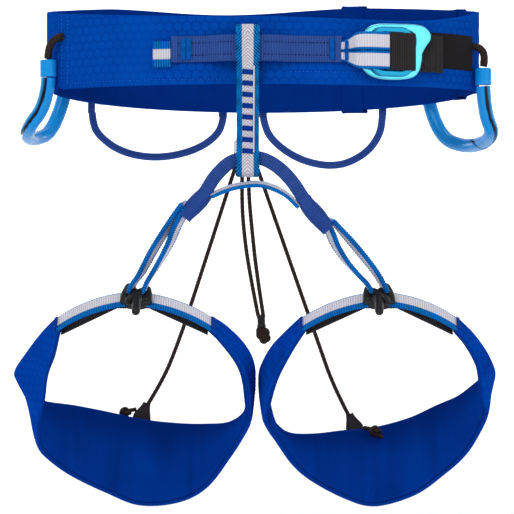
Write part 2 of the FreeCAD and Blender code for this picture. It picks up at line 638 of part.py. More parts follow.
def make_elastics():
    """A clip under the belt's back, two elastics to the leg loops and two loose tails with a knot."""
    hanger = box("elastic_hanger", ("clip_x - hanger_width / 2", "elastic_y - hanger_ply / 2", "-56"),
                 ("clip_x + hanger_width / 2", "elastic_y + hanger_ply / 2", "-39.6"))
    sub_part(hanger, "elastic_hanger")
    clip = new_body("elastic_clip")
    sketch = new_sketch(clip, "clip_outline", "XZ_Plane")
    rectangle(sketch, "-clip_width / 2", "clip_width / 2", "0", "clip_height - 5.2")
    pad(clip, sketch, "clip_ply")
    window = new_sketch(clip, "clip_window", "XZ_Plane")
    rectangle(window, "-clip_width / 2 + clip_bar", "clip_width / 2 - clip_bar", "clip_bar + 1",
              "clip_height - 5.2 - clip_bar")
    pocket(clip, window)
    clip.Placement = at(size("clip_x"), size("elastic_y"), size("clip_low"))
    sub_part(clip, "elastic_clip")
    for side, points in ELASTICS.items():
        tube(f"elastic_{side}", points, "elastic_radius")
    for side, points in TAILS.items():
        tube(f"elastic_tail_{side}", points, "elastic_radius")
    sleeve = doc.addObject("Part::Cylinder", "tail_sleeve")
    bind(sleeve, Radius="tail_sleeve_radius", Height="tail_sleeve_long")
    tail_end = TAILS["left"][-1][2] - 0.4
    sleeve.Placement = at(2.9, 80, tail_end - size("tail_sleeve_long"))
    sub_part(sleeve, "tail_sleeve")
    knot = doc.addObject("Part::Sphere", "tail_knot")
    bind(knot, Radius="tail_knot_radius")
    knot.Placement = at(4, 80, tail_end - size("tail_sleeve_long") - size("tail_knot_radius") - 0.1)
    sub_part(knot, "tail_knot")


def main():
    """Build every sub-part, test each one and write its STEP file."""
    make_belt()
    make_anchors()
    make_tie_in()
    make_belay_loop()
    make_bridge()
    make_buckle()
    make_gear_loops()
    for side, sign in (("left", -1), ("right", 1)):
        make_leg_loop(side, sign)
    make_elastics()
    doc.recompute()
    for item in doc.Objects:
        if {"Invalid", "Error"} & set(item.State):
            raise ValueError(f"{item.Name} is in state {item.State}")
    os.makedirs("parts", exist_ok=True)
    for item in nodes:
        if item.Shape.isNull() or not item.Shape.isValid() or not item.Shape.Solids:
            raise ValueError(f"{item.Label} has no valid solid")
        item.Shape.exportStep(f"parts/{item.Label}.step")
    print(len(nodes), "sub-parts")


main()
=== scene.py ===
"""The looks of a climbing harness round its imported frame: belt, buckle, belay loop, leg loops and cords.

Every piece is a closed skin worked out with numpy in metres, in the frame's own axes. Tables of places
are in millimetres and are multiplied by MM where they are read.
"""
import logging
import math
from collections.abc import Callable
from dataclasses import dataclass, field
from enum import Enum

import bpy
import numpy as np
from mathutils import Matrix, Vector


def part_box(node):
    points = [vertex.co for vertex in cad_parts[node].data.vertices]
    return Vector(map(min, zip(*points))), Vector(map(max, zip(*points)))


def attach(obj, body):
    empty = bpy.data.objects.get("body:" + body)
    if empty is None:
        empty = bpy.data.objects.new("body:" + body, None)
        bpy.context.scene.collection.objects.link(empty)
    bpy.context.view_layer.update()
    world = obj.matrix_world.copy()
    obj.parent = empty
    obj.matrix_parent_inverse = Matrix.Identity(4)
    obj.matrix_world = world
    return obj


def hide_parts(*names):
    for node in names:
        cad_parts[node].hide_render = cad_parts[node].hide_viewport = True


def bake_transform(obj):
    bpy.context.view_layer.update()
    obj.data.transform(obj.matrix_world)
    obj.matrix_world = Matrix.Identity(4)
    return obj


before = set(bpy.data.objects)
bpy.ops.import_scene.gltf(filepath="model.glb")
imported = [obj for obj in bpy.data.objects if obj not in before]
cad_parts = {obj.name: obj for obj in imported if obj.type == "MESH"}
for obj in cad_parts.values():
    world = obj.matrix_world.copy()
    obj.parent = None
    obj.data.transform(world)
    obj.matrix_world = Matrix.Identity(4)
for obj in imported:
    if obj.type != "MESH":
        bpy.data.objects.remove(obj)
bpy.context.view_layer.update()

Array = np.ndarray
Amount = float | np.ndarray
Points = np.ndarray | list | tuple
Socket = bpy.types.NodeSocket | float
MM = 0.001
UP, ACROSS, BACK = np.array([0.0, 0, 1]), np.array([1.0, 0, 0]), np.array([0.0, 1, 0])
FINE_STEP, CORD_STEP, CLOTH_STEP = 0.4 * MM, 0.6 * MM, 0.8 * MM
SHARP = math.radians(40)
logging.basicConfig(level=logging.INFO, format="%(message)s")
log = logging.getLogger("harness")


class Side(Enum):
    """The two sides of the harness as it hangs in front of the viewer."""

    LEFT = "left"
    RIGHT = "right"

    @property
    def sign(self) -> int:
        """-1 on the left, 1 on the right."""
        return 1 if self is Side.RIGHT else -1


class Weave(Enum):
    """How the ribs of a tape run: straight across it, or slanting out to its edges."""

    STRAIGHT = 0.0
    CHEVRON = 1.0


# ---------------------------------------------------------------- finishes

@dataclass(frozen=True)
class Colour:
    """A colour by its display values, 0 to 255."""

    red: int
    green: int
    blue: int

    def linear(self) -> tuple[float, float, float, float]:
        """The same colour in linear light: each value over 255, plus 0.055, over 1.055, to the power 2.4."""
        return tuple(((v / 255 + 0.055) / 1.055) ** 2.4 for v in (self.red, self.green, self.blue)) + (1.0,)


class Nodes:
    """A material's node tree, with short ways to add what the finishes share."""

    def __init__(self, name: str) -> None:
        """Start a new material.

        Args:
            name: The material's name.
        """
        self.material = bpy.data.materials.new(name)
        self.material.use_nodes = True
        self.tree = self.material.node_tree
        self.shader = self.tree.nodes["Principled BSDF"]

    def add(self, kind: str, inputs: dict | None = None, **settings: object) -> bpy.types.Node:
        """Add a node.

        Args:
            kind: The node's type name.
            inputs: Values or sockets, by input name or number.
            settings: Properties of the node itself.

        Returns:
            The new node.
        """
        node = self.tree.nodes.new(kind)
        for key, value in settings.items():
            setattr(node, key, value)
        for key, value in (inputs or {}).items():
            if isinstance(value, bpy.types.NodeSocket):
                self.tree.links.new(value, node.inputs[key])
            else:
                node.inputs[key].default_value = value
        return node

    def maths(self, operation: str, *values: Socket) -> bpy.types.NodeSocket:
        """The result of a Math node on one to three values or sockets."""
        return self.add("ShaderNodeMath", dict(enumerate(values)), operation=operation).outputs[0]

    def mix(self, factor: Socket, first: object, second: object) -> bpy.types.NodeSocket:
        """The colour between two colours at a factor."""
        inputs = {0: factor, 6: first, 7: second}
        return self.add("ShaderNodeMix", inputs, data_type="RGBA").outputs[2]

    def attribute(self, name: str) -> bpy.types.NodeSocket:
        """A number kept at each point of the mesh."""
        return self.add("ShaderNodeAttribute", attribute_name=name).outputs["Fac"]

    def cloth(self) -> tuple[bpy.types.NodeSocket, bpy.types.NodeSocket]:
        """The distances along and across the cloth, in metres.

        Returns:
            The two sockets.
        """
        uv = self.add("ShaderNodeUVMap", uv_map="cloth").outputs[0]
        parts = self.add("ShaderNodeSeparateXYZ", {0: uv})
        return parts.outputs[0], parts.outputs[1]

    def noise(self, scale: float, detail: float = 2.0) -> bpy.types.NodeSocket:
        """Soft noise over the object's own space, 0 to 1."""
        place = self.add("ShaderNodeTexCoord").outputs["Object"]
        return self.add("ShaderNodeTexNoise", {"Vector": place, "Scale": scale, "Detail": detail}).outputs[0]

    def step(self, value: Socket, low: float, high: float) -> bpy.types.NodeSocket:
        """A smooth rise from 0 to 1 as the value goes from low to high."""
        inputs = {"Value": value, "From Min": low, "From Max": high}
        return self.add("ShaderNodeMapRange", inputs, interpolation_type="SMOOTHSTEP").outputs[0]

    def wave(self, value: Socket, pitch: float) -> bpy.types.NodeSocket:
        """A wave of the given pitch over a distance, 0 to 1: half of 1 plus the cosine of the turn."""
        turn = self.maths("MULTIPLY", value, 2 * math.pi / pitch)
        return self.maths("MULTIPLY_ADD", self.maths("COSINE", turn), 0.5, 0.5)

    def bump(self, height: Socket, distance: float, strength: float = 1.0) -> None:
        """Raise the surface by a height pattern, 0 to 1, over a distance in metres."""
        inputs = {"Height": height, "Distance": distance, "Strength": strength}
        self.tree.links.new(self.add("ShaderNodeBump", inputs).outputs[0], self.shader.inputs["Normal"])

    def paint(self, colour: bpy.types.NodeSocket) -> None:
        """Feed the shader's colour."""
        self.tree.links.new(colour, self.shader.inputs["Base Color"])

    def rough(self, value: Socket) -> None:
        """Feed the shader's roughness."""
        self.tree.links.new(value, self.shader.inputs["Roughness"])


@dataclass(frozen=True)
class Finish:
    """A surface finish: a name, a main colour, how rough it is, and the name of a material slot, which is not
    used.
    """

    name: str
    colour: Colour
    roughness: float = 0.7
    slot: str = ""

    def material(self) -> bpy.types.Material:
        """The finish's material, made once.

        Returns:
            The material.
        """
        ready = bpy.data.materials.get(self.name)
        if ready:
            return ready
        nodes = Nodes(self.name)
        nodes.shader.inputs["Roughness"].default_value = self.roughness
        nodes.material.diffuse_color = self.colour.linear()
        self.dress(nodes)
        return nodes.material

    def dress(self, nodes: Nodes) -> None:
        """Build the finish's pattern; each finish has its own."""
        raise NotImplementedError


@dataclass(frozen=True)
class Cloth(Finish):
    """Plain woven fabric: a fine crossed weave, soft patches, painted shade in its grooves and a painted
    highlight on its crossings.
    """

    # The colour of the painted shade in grooves, creases and folds, and the tone that the darker patches go
    # to.
    groove: Colour = Colour(0, 30, 110)
    pitch: float = 0.9 * MM
    sheen: float = 0.06

    def dress(self, nodes: Nodes) -> None:
        """Weave height is a wave along the cloth times one across; colour follows patches, with painted shade
        where the relief is low and a painted highlight on the weave's crossings.

        Args:
            nodes: The node tree to build it in.
        """
        along, across = nodes.cloth()
        weave = nodes.maths("MULTIPLY", nodes.wave(along, self.pitch), nodes.wave(across, self.pitch))
        patches = nodes.step(nodes.noise(45.0, 3.0), 0.3, 0.75)
        worn = nodes.mix(nodes.maths("MULTIPLY", patches, 0.22), self.colour.linear(), self.groove.linear())
        # The weave's crossings are painted lighter: a painted highlight.
        threads = nodes.maths("MULTIPLY", weave, 0.12)
        light = nodes.mix(threads, worn, Colour(0, 120, 240).linear())
        # Where the relief is low, in grooves, creases and folds, the colour goes to the groove one: painted
        # shade.
        nodes.paint(nodes.mix(nodes.attribute("relief"), self.groove.linear(), light))
        fuzz = nodes.maths("MULTIPLY", nodes.noise(260.0), 0.8)
        nodes.bump(nodes.maths("ADD", weave, fuzz), 0.12 * MM, 0.6)
        nodes.rough(nodes.maths("MULTIPLY_ADD", patches, 0.12, self.roughness - 0.06))
        nodes.shader.inputs["Sheen Weight"].default_value = self.sheen
        nodes.shader.inputs["Sheen Tint"].default_value = Colour(30, 110, 255).linear()
        nodes.shader.inputs["Specular IOR Level"].default_value = 0.0


@dataclass(frozen=True)
class Webbing(Finish):
    """Ribbed narrow webbing, which may have edges of another colour."""

    edge: Colour = Colour(0, 110, 220)
    edge_from: float = 2.0
    pitch: float = 1.7 * MM
    weave: Weave = Weave.STRAIGHT
    gap: float = 0.45
    shade: Colour = Colour(0, 6, 24)

    def dress(self, nodes: Nodes) -> None:
        """Ribs are a wave along the tape, slanting by the distance from the middle, with the gaps between
        them painted dark as shade.

        Args:
            nodes: The node tree to build it in.
        """
        along, across = nodes.cloth()
        side = nodes.maths("ABSOLUTE", nodes.attribute("side"))
        edge = nodes.step(side, self.edge_from - 0.05, self.edge_from + 0.05)
        slant = nodes.maths("MULTIPLY", nodes.maths("ABSOLUTE", across), self.weave.value)
        rib = nodes.wave(nodes.maths("ADD", along, slant), self.pitch)
        thread = nodes.wave(across, 0.55 * MM)
        fuzz = nodes.noise(700.0, 2.0)
        colour = nodes.mix(edge, self.colour.linear(), self.edge.linear())
        # The shade colour darkens the gaps between ribs and wherever the relief is low: painted shade.
        dark = nodes.mix(0.85, colour, self.shade.linear())
        strength = nodes.maths("MULTIPLY_ADD", edge, 0.7 * self.gap, 0.6 * self.gap)
        depth = nodes.maths("MULTIPLY", nodes.step(rib, 0.75, 0.05), strength)
        depth = nodes.maths("ADD", depth, nodes.maths("MULTIPLY", fuzz, 0.1))
        dull = nodes.maths("MULTIPLY", nodes.maths("SUBTRACT", 1.0, nodes.attribute("relief")), 0.6)
        nodes.paint(nodes.mix(nodes.maths("ADD", depth, dull), colour, dark))
        height = nodes.maths("ADD", rib, nodes.maths("MULTIPLY", thread, 0.35))
        nodes.bump(nodes.maths("ADD", height, nodes.maths("MULTIPLY", fuzz, 0.3)), 0.25 * MM, 0.7)
        nodes.rough(nodes.maths("MULTIPLY_ADD", fuzz, 0.15, self.roughness - 0.07))
        nodes.shader.inputs["Specular IOR Level"].default_value = 0.04


@dataclass(frozen=True)
class Moulded(Finish):
    """Moulded plastic or rubber: an even colour with faint flow marks, slots painted dark as shade, and a
    pale zone that is wear on rims and a painted highlight on the gear loops' lower bend.
    """

    dark: Colour = Colour(8, 10, 18)
    pale: Colour = Colour(232, 234, 240)
    coat: float = 0.3
    grain: float = 0.04

    def dress(self, nodes: Nodes) -> None:
        """Colour goes from the slot's painted shade to the body's with the relief, and to the pale one with
        the wear number, which on the gear loops marks a painted highlight.

        Args:
            nodes: The node tree to build it in.
        """
        flow = nodes.step(nodes.noise(60.0, 4.0), 0.25, 0.8)
        body = nodes.mix(nodes.maths("MULTIPLY", flow, 0.02), self.colour.linear(), self.pale.linear())
        # Pale where the wear number is high: worn rims, and a painted highlight (glare) on the gear loops'
        # lower bend.
        worn = nodes.mix(nodes.attribute("wear_and_glare"), body, self.pale.linear())
        # Dark where the relief is low, in the gear loops' slot: painted shade in the groove.
        nodes.paint(nodes.mix(nodes.attribute("relief"), self.dark.linear(), worn))
        nodes.bump(nodes.noise(900.0, 3.0), self.grain * MM, 0.5)
        nodes.rough(nodes.maths("MULTIPLY_ADD", nodes.noise(120.0, 3.0), 0.14, self.roughness - 0.07))
        nodes.shader.inputs["Coat Weight"].default_value = self.coat
        nodes.shader.inputs["Specular IOR Level"].default_value = 0.22
        nodes.shader.inputs["Coat Roughness"].default_value = 0.12


@dataclass(frozen=True)
class Anodised(Finish):
    """Anodised forged aluminium: coloured metal with fine tumbling marks and edges rubbed paler."""

    rubbed: Colour = Colour(120, 235, 255)

    def dress(self, nodes: Nodes) -> None:
        """Colour goes to the rubbed one where the wear is; roughness follows two sizes of noise.

        Args:
            nodes: The node tree to build it in.
        """
        marks = nodes.noise(500.0, 6.0)
        patches = nodes.step(nodes.noise(70.0, 3.0), 0.3, 0.7)
        base = nodes.mix(nodes.maths("MULTIPLY", patches, 0.12), self.colour.linear(), self.rubbed.linear())
        worn = nodes.maths("MULTIPLY", nodes.attribute("wear_and_glare"), 0.55)
        nodes.paint(nodes.mix(worn, base, self.rubbed.linear()))
        nodes.rough(nodes.maths("MULTIPLY_ADD", marks, 0.2, self.roughness - 0.1))
        nodes.bump(marks, 0.03 * MM, 0.4)
        nodes.shader.inputs["Metallic"].default_value = 0.85
        nodes.shader.inputs["Coat Weight"].default_value = 0.1
        nodes.shader.inputs["Coat Roughness"].default_value = 0.15


@dataclass(frozen=True)
class Braid(Finish):
    """A braided cord sheath: two sets of strands that cross, with paler flecks."""

    fleck: Colour = Colour(120, 105, 95)
    pitch: float = 2.4 * MM

    def dress(self, nodes: Nodes) -> None:
        """Strand height is one wave of along plus across, times one of along minus across.

        Args:
            nodes: The node tree to build it in.
        """
        along, across = nodes.cloth()
        first = nodes.wave(nodes.maths("ADD", along, across), self.pitch)
        second = nodes.wave(nodes.maths("SUBTRACT", along, across), self.pitch)
        strands = nodes.maths("MAXIMUM", first, second)
        flecks = nodes.maths("MULTIPLY", nodes.step(nodes.noise(1200.0, 2.0), 0.5, 0.8), 0.35)
        gaps = nodes.maths("MULTIPLY", nodes.step(strands, 0.9, 0.4), 0.55)
        shade = nodes.mix(gaps, self.colour.linear(), Colour(4, 4, 5).linear())
        nodes.paint(nodes.mix(flecks, shade, self.fleck.linear()))
        nodes.bump(strands, 0.25 * MM, 0.8)
        nodes.rough(nodes.maths("MULTIPLY_ADD", strands, -0.12, self.roughness + 0.06))
        nodes.shader.inputs["Specular IOR Level"].default_value = 0.12


@dataclass(frozen=True)
class Paper(Finish):
    """The even pale finish of floor and wall."""

    def dress(self, nodes: Nodes) -> None:
        """One colour, a little uneven."""
        nodes.paint(nodes.mix(nodes.maths("MULTIPLY", nodes.noise(3.0), 0.03), self.colour.linear(),
                              Colour(220, 220, 224).linear()))


SHELL_BLUE, TAPE_BLUE, TAPE_WHITE = Colour(0, 70, 166), Colour(0, 116, 204), Colour(222, 220, 230)
BELT_CLOTH = Cloth("belt fabric", SHELL_BLUE, 0.62, "belt_fabric", groove=Colour(0, 46, 136))
LINING = Cloth("lining fabric", Colour(0, 42, 124), 0.75, "lining_fabric", groove=Colour(0, 24, 96),
               pitch=0.7 * MM)
LEG_CLOTH = Cloth("leg fabric", Colour(0, 66, 168), 0.66, "belt_fabric", groove=Colour(0, 44, 136))
LEG_LINING = Cloth("leg lining", Colour(0, 50, 140), 0.7, "lining_fabric", groove=Colour(0, 34, 106),
                   pitch=0.7 * MM)
FOAM = Cloth("foam core", Colour(26, 36, 84), 0.85, "foam", groove=Colour(10, 14, 40))
SLEEVE = Cloth("sleeve webbing", Colour(52, 80, 152), 0.6, "slate_webbing", groove=Colour(22, 42, 100),
               pitch=1.1 * MM)
SLATE = Webbing("slate webbing", Colour(52, 84, 158), 0.6, "slate_webbing", pitch=1.75 * MM, gap=0.5)
TAPE, LEG_TAPE, RISER_TAPE, NARROW_WHITE = (
    Webbing(name, TAPE_WHITE, 0.72, "blue_white_tape", edge=TAPE_BLUE, edge_from=edge_from, gap=gap)
    for name, edge_from, gap in (("white tape with blue edges", 0.7, 0.3), ("leg tape", 0.6, 0.5),
                                 ("riser tape", 0.52, 0.5), ("blue tape with white middle", 0.38, 0.5)))
LOOP_TAPE = Webbing("belay loop tape", TAPE_WHITE, 0.72, "blue_white_tape", edge=Colour(0, 132, 214),
                    edge_from=0.5, pitch=2.1 * MM, weave=Weave.CHEVRON, gap=0.9)
BLACK_TAPE = Webbing("black webbing", Colour(58, 54, 56), 0.75, "black_webbing", pitch=1.3 * MM, gap=0.6,
                     shade=Colour(9, 8, 9))
PATCH = Webbing("black twill", Colour(38, 35, 37), 0.8, "black_webbing", pitch=1.5 * MM,
                weave=Weave.CHEVRON, gap=0.5, shade=Colour(8, 7, 8))
TACK = Webbing("bartack thread", Colour(10, 62, 156), 0.5, "stitching", pitch=0.8 * MM, gap=0.3)
BRIGHT_TACK = Webbing("bright bartack thread", Colour(0, 96, 190), 0.5, "stitching", pitch=0.8 * MM, gap=0.4)
THREAD = Moulded("sewing thread", Colour(20, 100, 210), 0.6, "stitching", pale=Colour(60, 140, 235),
                 coat=0.0, grain=0.02)
DARK_THREAD = Moulded("dark thread", Colour(2, 22, 84), 0.6, "stitching", pale=Colour(10, 50, 140),
                      coat=0.0, grain=0.02)
LIGHT_METAL = Anodised("light anodised metal", Colour(16, 156, 192), 0.24, "anodised_light")
DARK_METAL = Anodised("dark anodised metal", Colour(0, 112, 150), 0.24, "anodised_dark",
                      rubbed=Colour(30, 160, 200))
GEAR_PLASTIC = Moulded("gear loop plastic", Colour(0, 142, 220), 0.26, "gear_plastic",
                       pale=Colour(170, 208, 240), coat=0.0)
RUBBER = Moulded("black rubber", Colour(20, 19, 20), 0.42, "black_rubber", pale=Colour(60, 60, 62),
                 coat=0.1, grain=0.1)
CLIP_PLASTIC = Moulded("grey clip plastic", Colour(150, 152, 158), 0.4, "clip_plastic")
CORD = Braid("black cord", Colour(48, 36, 33), 0.7, "black_cord", fleck=Colour(98, 82, 74))
PAPER = Paper("pale paper", Colour(250, 250, 252), 0.9)


# ---------------------------------------------------------------- lines

def unit(vectors: Array) -> Array:
    """Each vector over its own length."""
    return vectors / np.maximum(np.linalg.norm(vectors, axis=-1, keepdims=True), 1e-12)


def run_along(line: Array) -> Array:
    """The distance along a line at each of its points."""
    return np.concatenate([[0], np.cumsum(np.linalg.norm(np.diff(line, axis=0), axis=1))])


def evenly(line: Array, step: float) -> Array:
    """Places along a line of many points, each the same distance from the last.

    Args:
        line: The points, one row each.
        step: The distance wanted between places.

    Returns:
        The new points, the first and last ones where they were.
    """
    run = run_along(line)
    places = np.linspace(0, run[-1], max(int(round(run[-1] / step)), 2) + 1)
    return np.stack([np.interp(places, run, line[:, k]) for k in range(line.shape[1])], -1)


def through(points: Points, step: float, ring: bool = False) -> Array:
    """A smooth curve through points: between two of them a cubic that leaves each one along the line
    between its neighbours.

    Args:
        points: The points, in millimetres.
        step: The distance between the curve's places, in metres.
        ring: Whether the curve closes on itself; its first place isn't repeated at the end.

    Returns:
        The places, in metres.
    """
    spots = np.asarray(points, float) * MM
    if ring:
        spots = np.vstack([spots[-1:], spots, spots[:2]])
    else:
        spots = np.vstack([2 * spots[0] - spots[1], spots, 2 * spots[-1] - spots[-2]])
    a, b, c, d = (spots[i:len(spots) - 3 + i, None] for i in range(4))
    t = np.linspace(0, 1, 24, endpoint=False)[None, :, None]
    cubic = (2 * b + (c - a) * t + (2 * a - 5 * b + 4 * c - d) * t**2 + (3 * b - a - 3 * c + d) * t**3) / 2
    dense = np.vstack([cubic.reshape(-1, spots.shape[1]), c[-1]])
    line = evenly(dense, step)
    return line[:-1] if ring else line


def route(points: Points) -> Array:
    """The line of a cord: a smooth NURBS spline of order 3 with the given control points, in millimetres.

    Args:
        points: The control points, in millimetres.

    Returns:
        Evenly spaced places along the spline, in metres.
    """
    curve = bpy.data.curves.new("route", "CURVE")
    curve.dimensions, curve.resolution_u = "3D", 24
    spline = curve.splines.new("NURBS")
    spline.points.add(len(points) - 1)
    control = np.hstack([np.asarray(points, float) * MM, np.ones((len(points), 1))])
    spline.points.foreach_set("co", control.ravel())
    spline.order_u, spline.use_endpoint_u = 3, True
    holder = bpy.data.objects.new("route", curve)
    mesh = bpy.data.meshes.new_from_object(holder)
    line = np.empty(len(mesh.vertices) * 3)
    mesh.vertices.foreach_get("co", line)
    bpy.data.objects.remove(holder)
    bpy.data.meshes.remove(mesh)
    bpy.data.curves.remove(curve)
    return evenly(line.reshape(-1, 3), CORD_STEP)


def length_of(line: Array) -> float:
    """The length of a line of points."""
    return float(run_along(line)[-1])


def corners(node: str) -> tuple[Array, Array]:
    """The low and high corners of a frame node's box."""
    low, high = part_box(node)
    return np.array(low), np.array(high)


def frames(line: Array, way: Array, ring: bool = False) -> tuple[Array, Array, Array]:
    """Directions at each place of a line.

    Args:
        line: The places.
        way: The direction across the line, one for all places or one each.
        ring: Whether the line closes on itself.

    Returns:
        The directions along the line, across it (the way, made square to it) and out of both.
    """
    if ring:
        along = unit(np.roll(line, -1, 0) - np.roll(line, 1, 0))
    else:
        along = unit(np.gradient(line, axis=0))
    across = np.broadcast_to(way, line.shape)
    across = unit(across - (across * along).sum(-1, keepdims=True) * along)
    return along, across, np.cross(across, along)


def smooth_step(value: Array) -> Array:
    """0 below 0, 1 above 1, and a smooth rise between: 3 times the square less 2 times the cube."""
    value = np.clip(value, 0, 1)
    return value * value * (3 - 2 * value)


def ripple(along: Array, up: Array, seed: float) -> Array:
    """Soft folds from -1 to 1: the mean of five slow waves in different directions."""
    waves = [np.sin(along * (60 + 47 * k) + up * (90 - 31 * k) + seed * (k + 1) * 2.3) for k in range(5)]
    return sum(waves) / 5


# ---------------------------------------------------------------- skins

@dataclass
class Skin:
    """Part of a mesh: points, faces, cloth distances at each face corner, and numbers at each point."""

    points: Array
    faces: list
    cloth: Array
    side: Array
    relief: Array
    wear_and_glare: Array


def grid_skin(points: Array, along: Array, across: Array, side: Amount = 0.0, relief: Amount = 1.0,
              wear_and_glare: Amount = 0.0, ring: bool = False) -> Skin:
    """A closed skin over a grid whose columns close on themselves.

    Its two end rows are closed, each to a point at its middle, unless the rows close on themselves too.

    Args:
        points: Rows by columns of places.
        along: Each row's distance along the piece; a ring has one more, for its closing row.
        across: Each column's distance across it, and one more for the closing column.
        side: How far each place lies to the side, -1 to 1.
        relief: 0 in the bottom of grooves, 1 on top; the finishes paint shade where it is low.
        wear_and_glare: 0 fresh, 1 worn; on the gear loops' lower bend it marks a painted highlight instead.
        ring: Whether the rows close on themselves too.

    Returns:
        The skin, its faces pointing outwards.
    """
    rows, columns = points.shape[:2]
    index = np.arange(rows * columns).reshape(rows, columns)
    wide = np.hstack([index, index[:, :1]])
    tall = np.vstack([wide, wide[:1]]) if ring else wide
    quads = np.stack([tall[:-1, :-1], tall[:-1, 1:], tall[1:, 1:], tall[1:, :-1]], -1).reshape(-1, 4)
    u, v = np.meshgrid(along[:tall.shape[0]], across, indexing="ij")
    uv = np.stack([u, v], -1)
    corners = np.stack([uv[:-1, :-1], uv[:-1, 1:], uv[1:, 1:], uv[1:, :-1]], 2).reshape(-1, 4, 2)
    shape = (rows, columns)
    values = [np.broadcast_to(value, shape).ravel() for value in (side, relief, wear_and_glare)]
    flat = points.reshape(-1, 3)
    faces, cloth = [quads], [corners.reshape(-1, 2)]
    if not ring:
        for row, turn in ((0, 1), (-1, -1)):
            middle = len(flat)
            flat = np.vstack([flat, points[row].mean(0)])
            values = [np.append(value, value.reshape(-1)[index[row, 0]]) for value in values]
            edge = wide[row]
            fan = np.stack([edge[1:], edge[:-1], np.full(columns, middle)], -1)[:, ::turn]
            faces.append(fan)
            ends = np.stack([uv[row, 1:], uv[row, :-1], np.broadcast_to(uv[row].mean(0), (columns, 2))], 1)
            cloth.append(ends[:, ::turn].reshape(-1, 2))
    skin = Skin(flat, faces, np.vstack(cloth), *values)
    if volume(skin) < 0:
        skin.faces = [face[:, ::-1] for face in faces]
        sizes = np.cumsum([0] + [len(face) * face.shape[1] for face in faces])
        skin.cloth = np.vstack([skin.cloth[a:b].reshape(-1, face.shape[1], 2)[:, ::-1].reshape(-1, 2)
                                for a, b, face in zip(sizes, sizes[1:], faces)])
    return skin


def volume(skin: Skin) -> float:
    """The space inside a skin: a sixth of the triple products of its triangles, added.

    Args:
        skin: A closed skin.

    Returns:
        Its volume in cubic metres, positive when its faces point outwards.
    """
    total = 0.0
    middle = skin.points.mean(0)
    for face in skin.faces:
        for k in range(1, face.shape[1] - 1):
            a, b, c = (skin.points[face[:, i]] - middle for i in (0, k, k + 1))
            total += float((a * np.cross(b, c)).sum()) / 6
    return total


@dataclass(frozen=True)
class Ribs:
    """The ribs of a tape: how far apart, how much thicker than the rest, how much they jut at the edges."""

    pitch: float = 1.75 * MM
    depth: float = 0.12
    edge: float = 0.03
    slant: float = 0.0


def outline(faces: int = 10, turns: int = 4) -> tuple[Array, Array, Array]:
    """The section of a tape, half width and half thickness each 1, as a middle line and a rounding.

    Args:
        faces: Places across each flat side.
        turns: Places round each edge.

    Returns:
        How far each place's middle lies across, and the rounding's two directions there.
    """
    flat = np.linspace(-1, 1, faces)
    arc = np.linspace(math.pi / 2, -math.pi / 2, turns + 2)[1:-1]
    middle = np.concatenate([flat, np.ones(turns), flat[::-1], -np.ones(turns)])
    over = np.concatenate([np.zeros(faces), np.cos(arc), np.zeros(faces), -np.cos(arc)])
    out = np.concatenate([np.ones(faces), np.sin(arc), -np.ones(faces), -np.sin(arc)])
    return middle, over, out


def strip(line: Array, way: Array, width: Amount, thickness: Amount, ribs: Ribs | None = None,
          ring: bool = False, lean: float = 0.0) -> Skin:
    """A length of tape: a flat section with round edges carried along a line.

    The thickness swells by the ribs' depth times the cosine of the distance along, slanted by the distance
    from the middle; the first and last rows are pinched to half.

    Args:
        line: The tape's middle line.
        way: The direction of its width, one or one each.
        width: Its width, one or one each.
        thickness: Its thickness, one or one each.
        ribs: Its ribs, if it has any.
        ring: Whether it closes on itself.
        lean: How far the tape's middle stripe lies to one side, as a share of half its width.

    Returns:
        The skin.
    """
    _, across, out = frames(line, way, ring)
    count = len(line)
    half = np.broadcast_to(np.asarray(width, float) / 2, (count,))[:, None]
    deep = np.broadcast_to(np.asarray(thickness, float) / 2, (count,)).copy()[:, None]
    middle, over, rise = outline()
    run = run_along(line)
    if not ring:
        deep[[0, -1]] *= 0.5
    sideways = (half - deep) * middle + deep * over
    outwards = deep * rise
    if ribs:
        turns = (run[:, None] + ribs.slant * np.abs(sideways)) * 2 * math.pi / ribs.pitch
        outwards = outwards * (1 + ribs.depth * np.cos(turns))
        sideways = sideways * (1 + ribs.edge * np.cos(turns) * smooth_step((np.abs(middle) - 0.8) / 0.2))
    points = line[:, None] + sideways[..., None] * across[:, None] + outwards[..., None] * out[:, None]
    if ring:
        run = np.append(run, run[-1] + np.linalg.norm(line[0] - line[-1]))
    wide = np.append(sideways.mean(0), sideways[:, 0].mean())
    return grid_skin(points, run, wide, side=sideways / half - lean, ring=ring)


def tube(line: Array, radius: Amount, way: Array, sides: int = 20, relief: Amount = 1.0, wear_and_glare: Amount = 0.0,
         ring: bool = False) -> Skin:
    """A round section carried along a line.

    Args:
        line: The middle line.
        radius: Its radius: one, one for each place, or one for each place and side.
        way: A direction that is nowhere along the line.
        sides: How many places there are round the section.
        relief: As grid_skin takes it.
        wear_and_glare: As grid_skin takes it.
        ring: Whether it closes on itself.

    Returns:
        The skin.
    """
    _, across, out = frames(line, way, ring)
    turn = np.linspace(0, 2 * math.pi, sides, endpoint=False)
    size = np.asarray(radius, float)
    size = np.broadcast_to(size[:, None] if size.ndim == 1 else size, (len(line), sides))
    spoke = np.cos(turn)[:, None] * across[:, None] + np.sin(turn)[:, None] * out[:, None]
    points = line[:, None] + size[..., None] * spoke
    run = run_along(line)
    if ring:
        run = np.append(run, run[-1] + np.linalg.norm(line[0] - line[-1]))
    around = np.linspace(0, 2 * math.pi, sides + 1) * float(size.mean())
    return grid_skin(points, run, around, relief=relief, wear_and_glare=wear_and_glare, ring=ring)


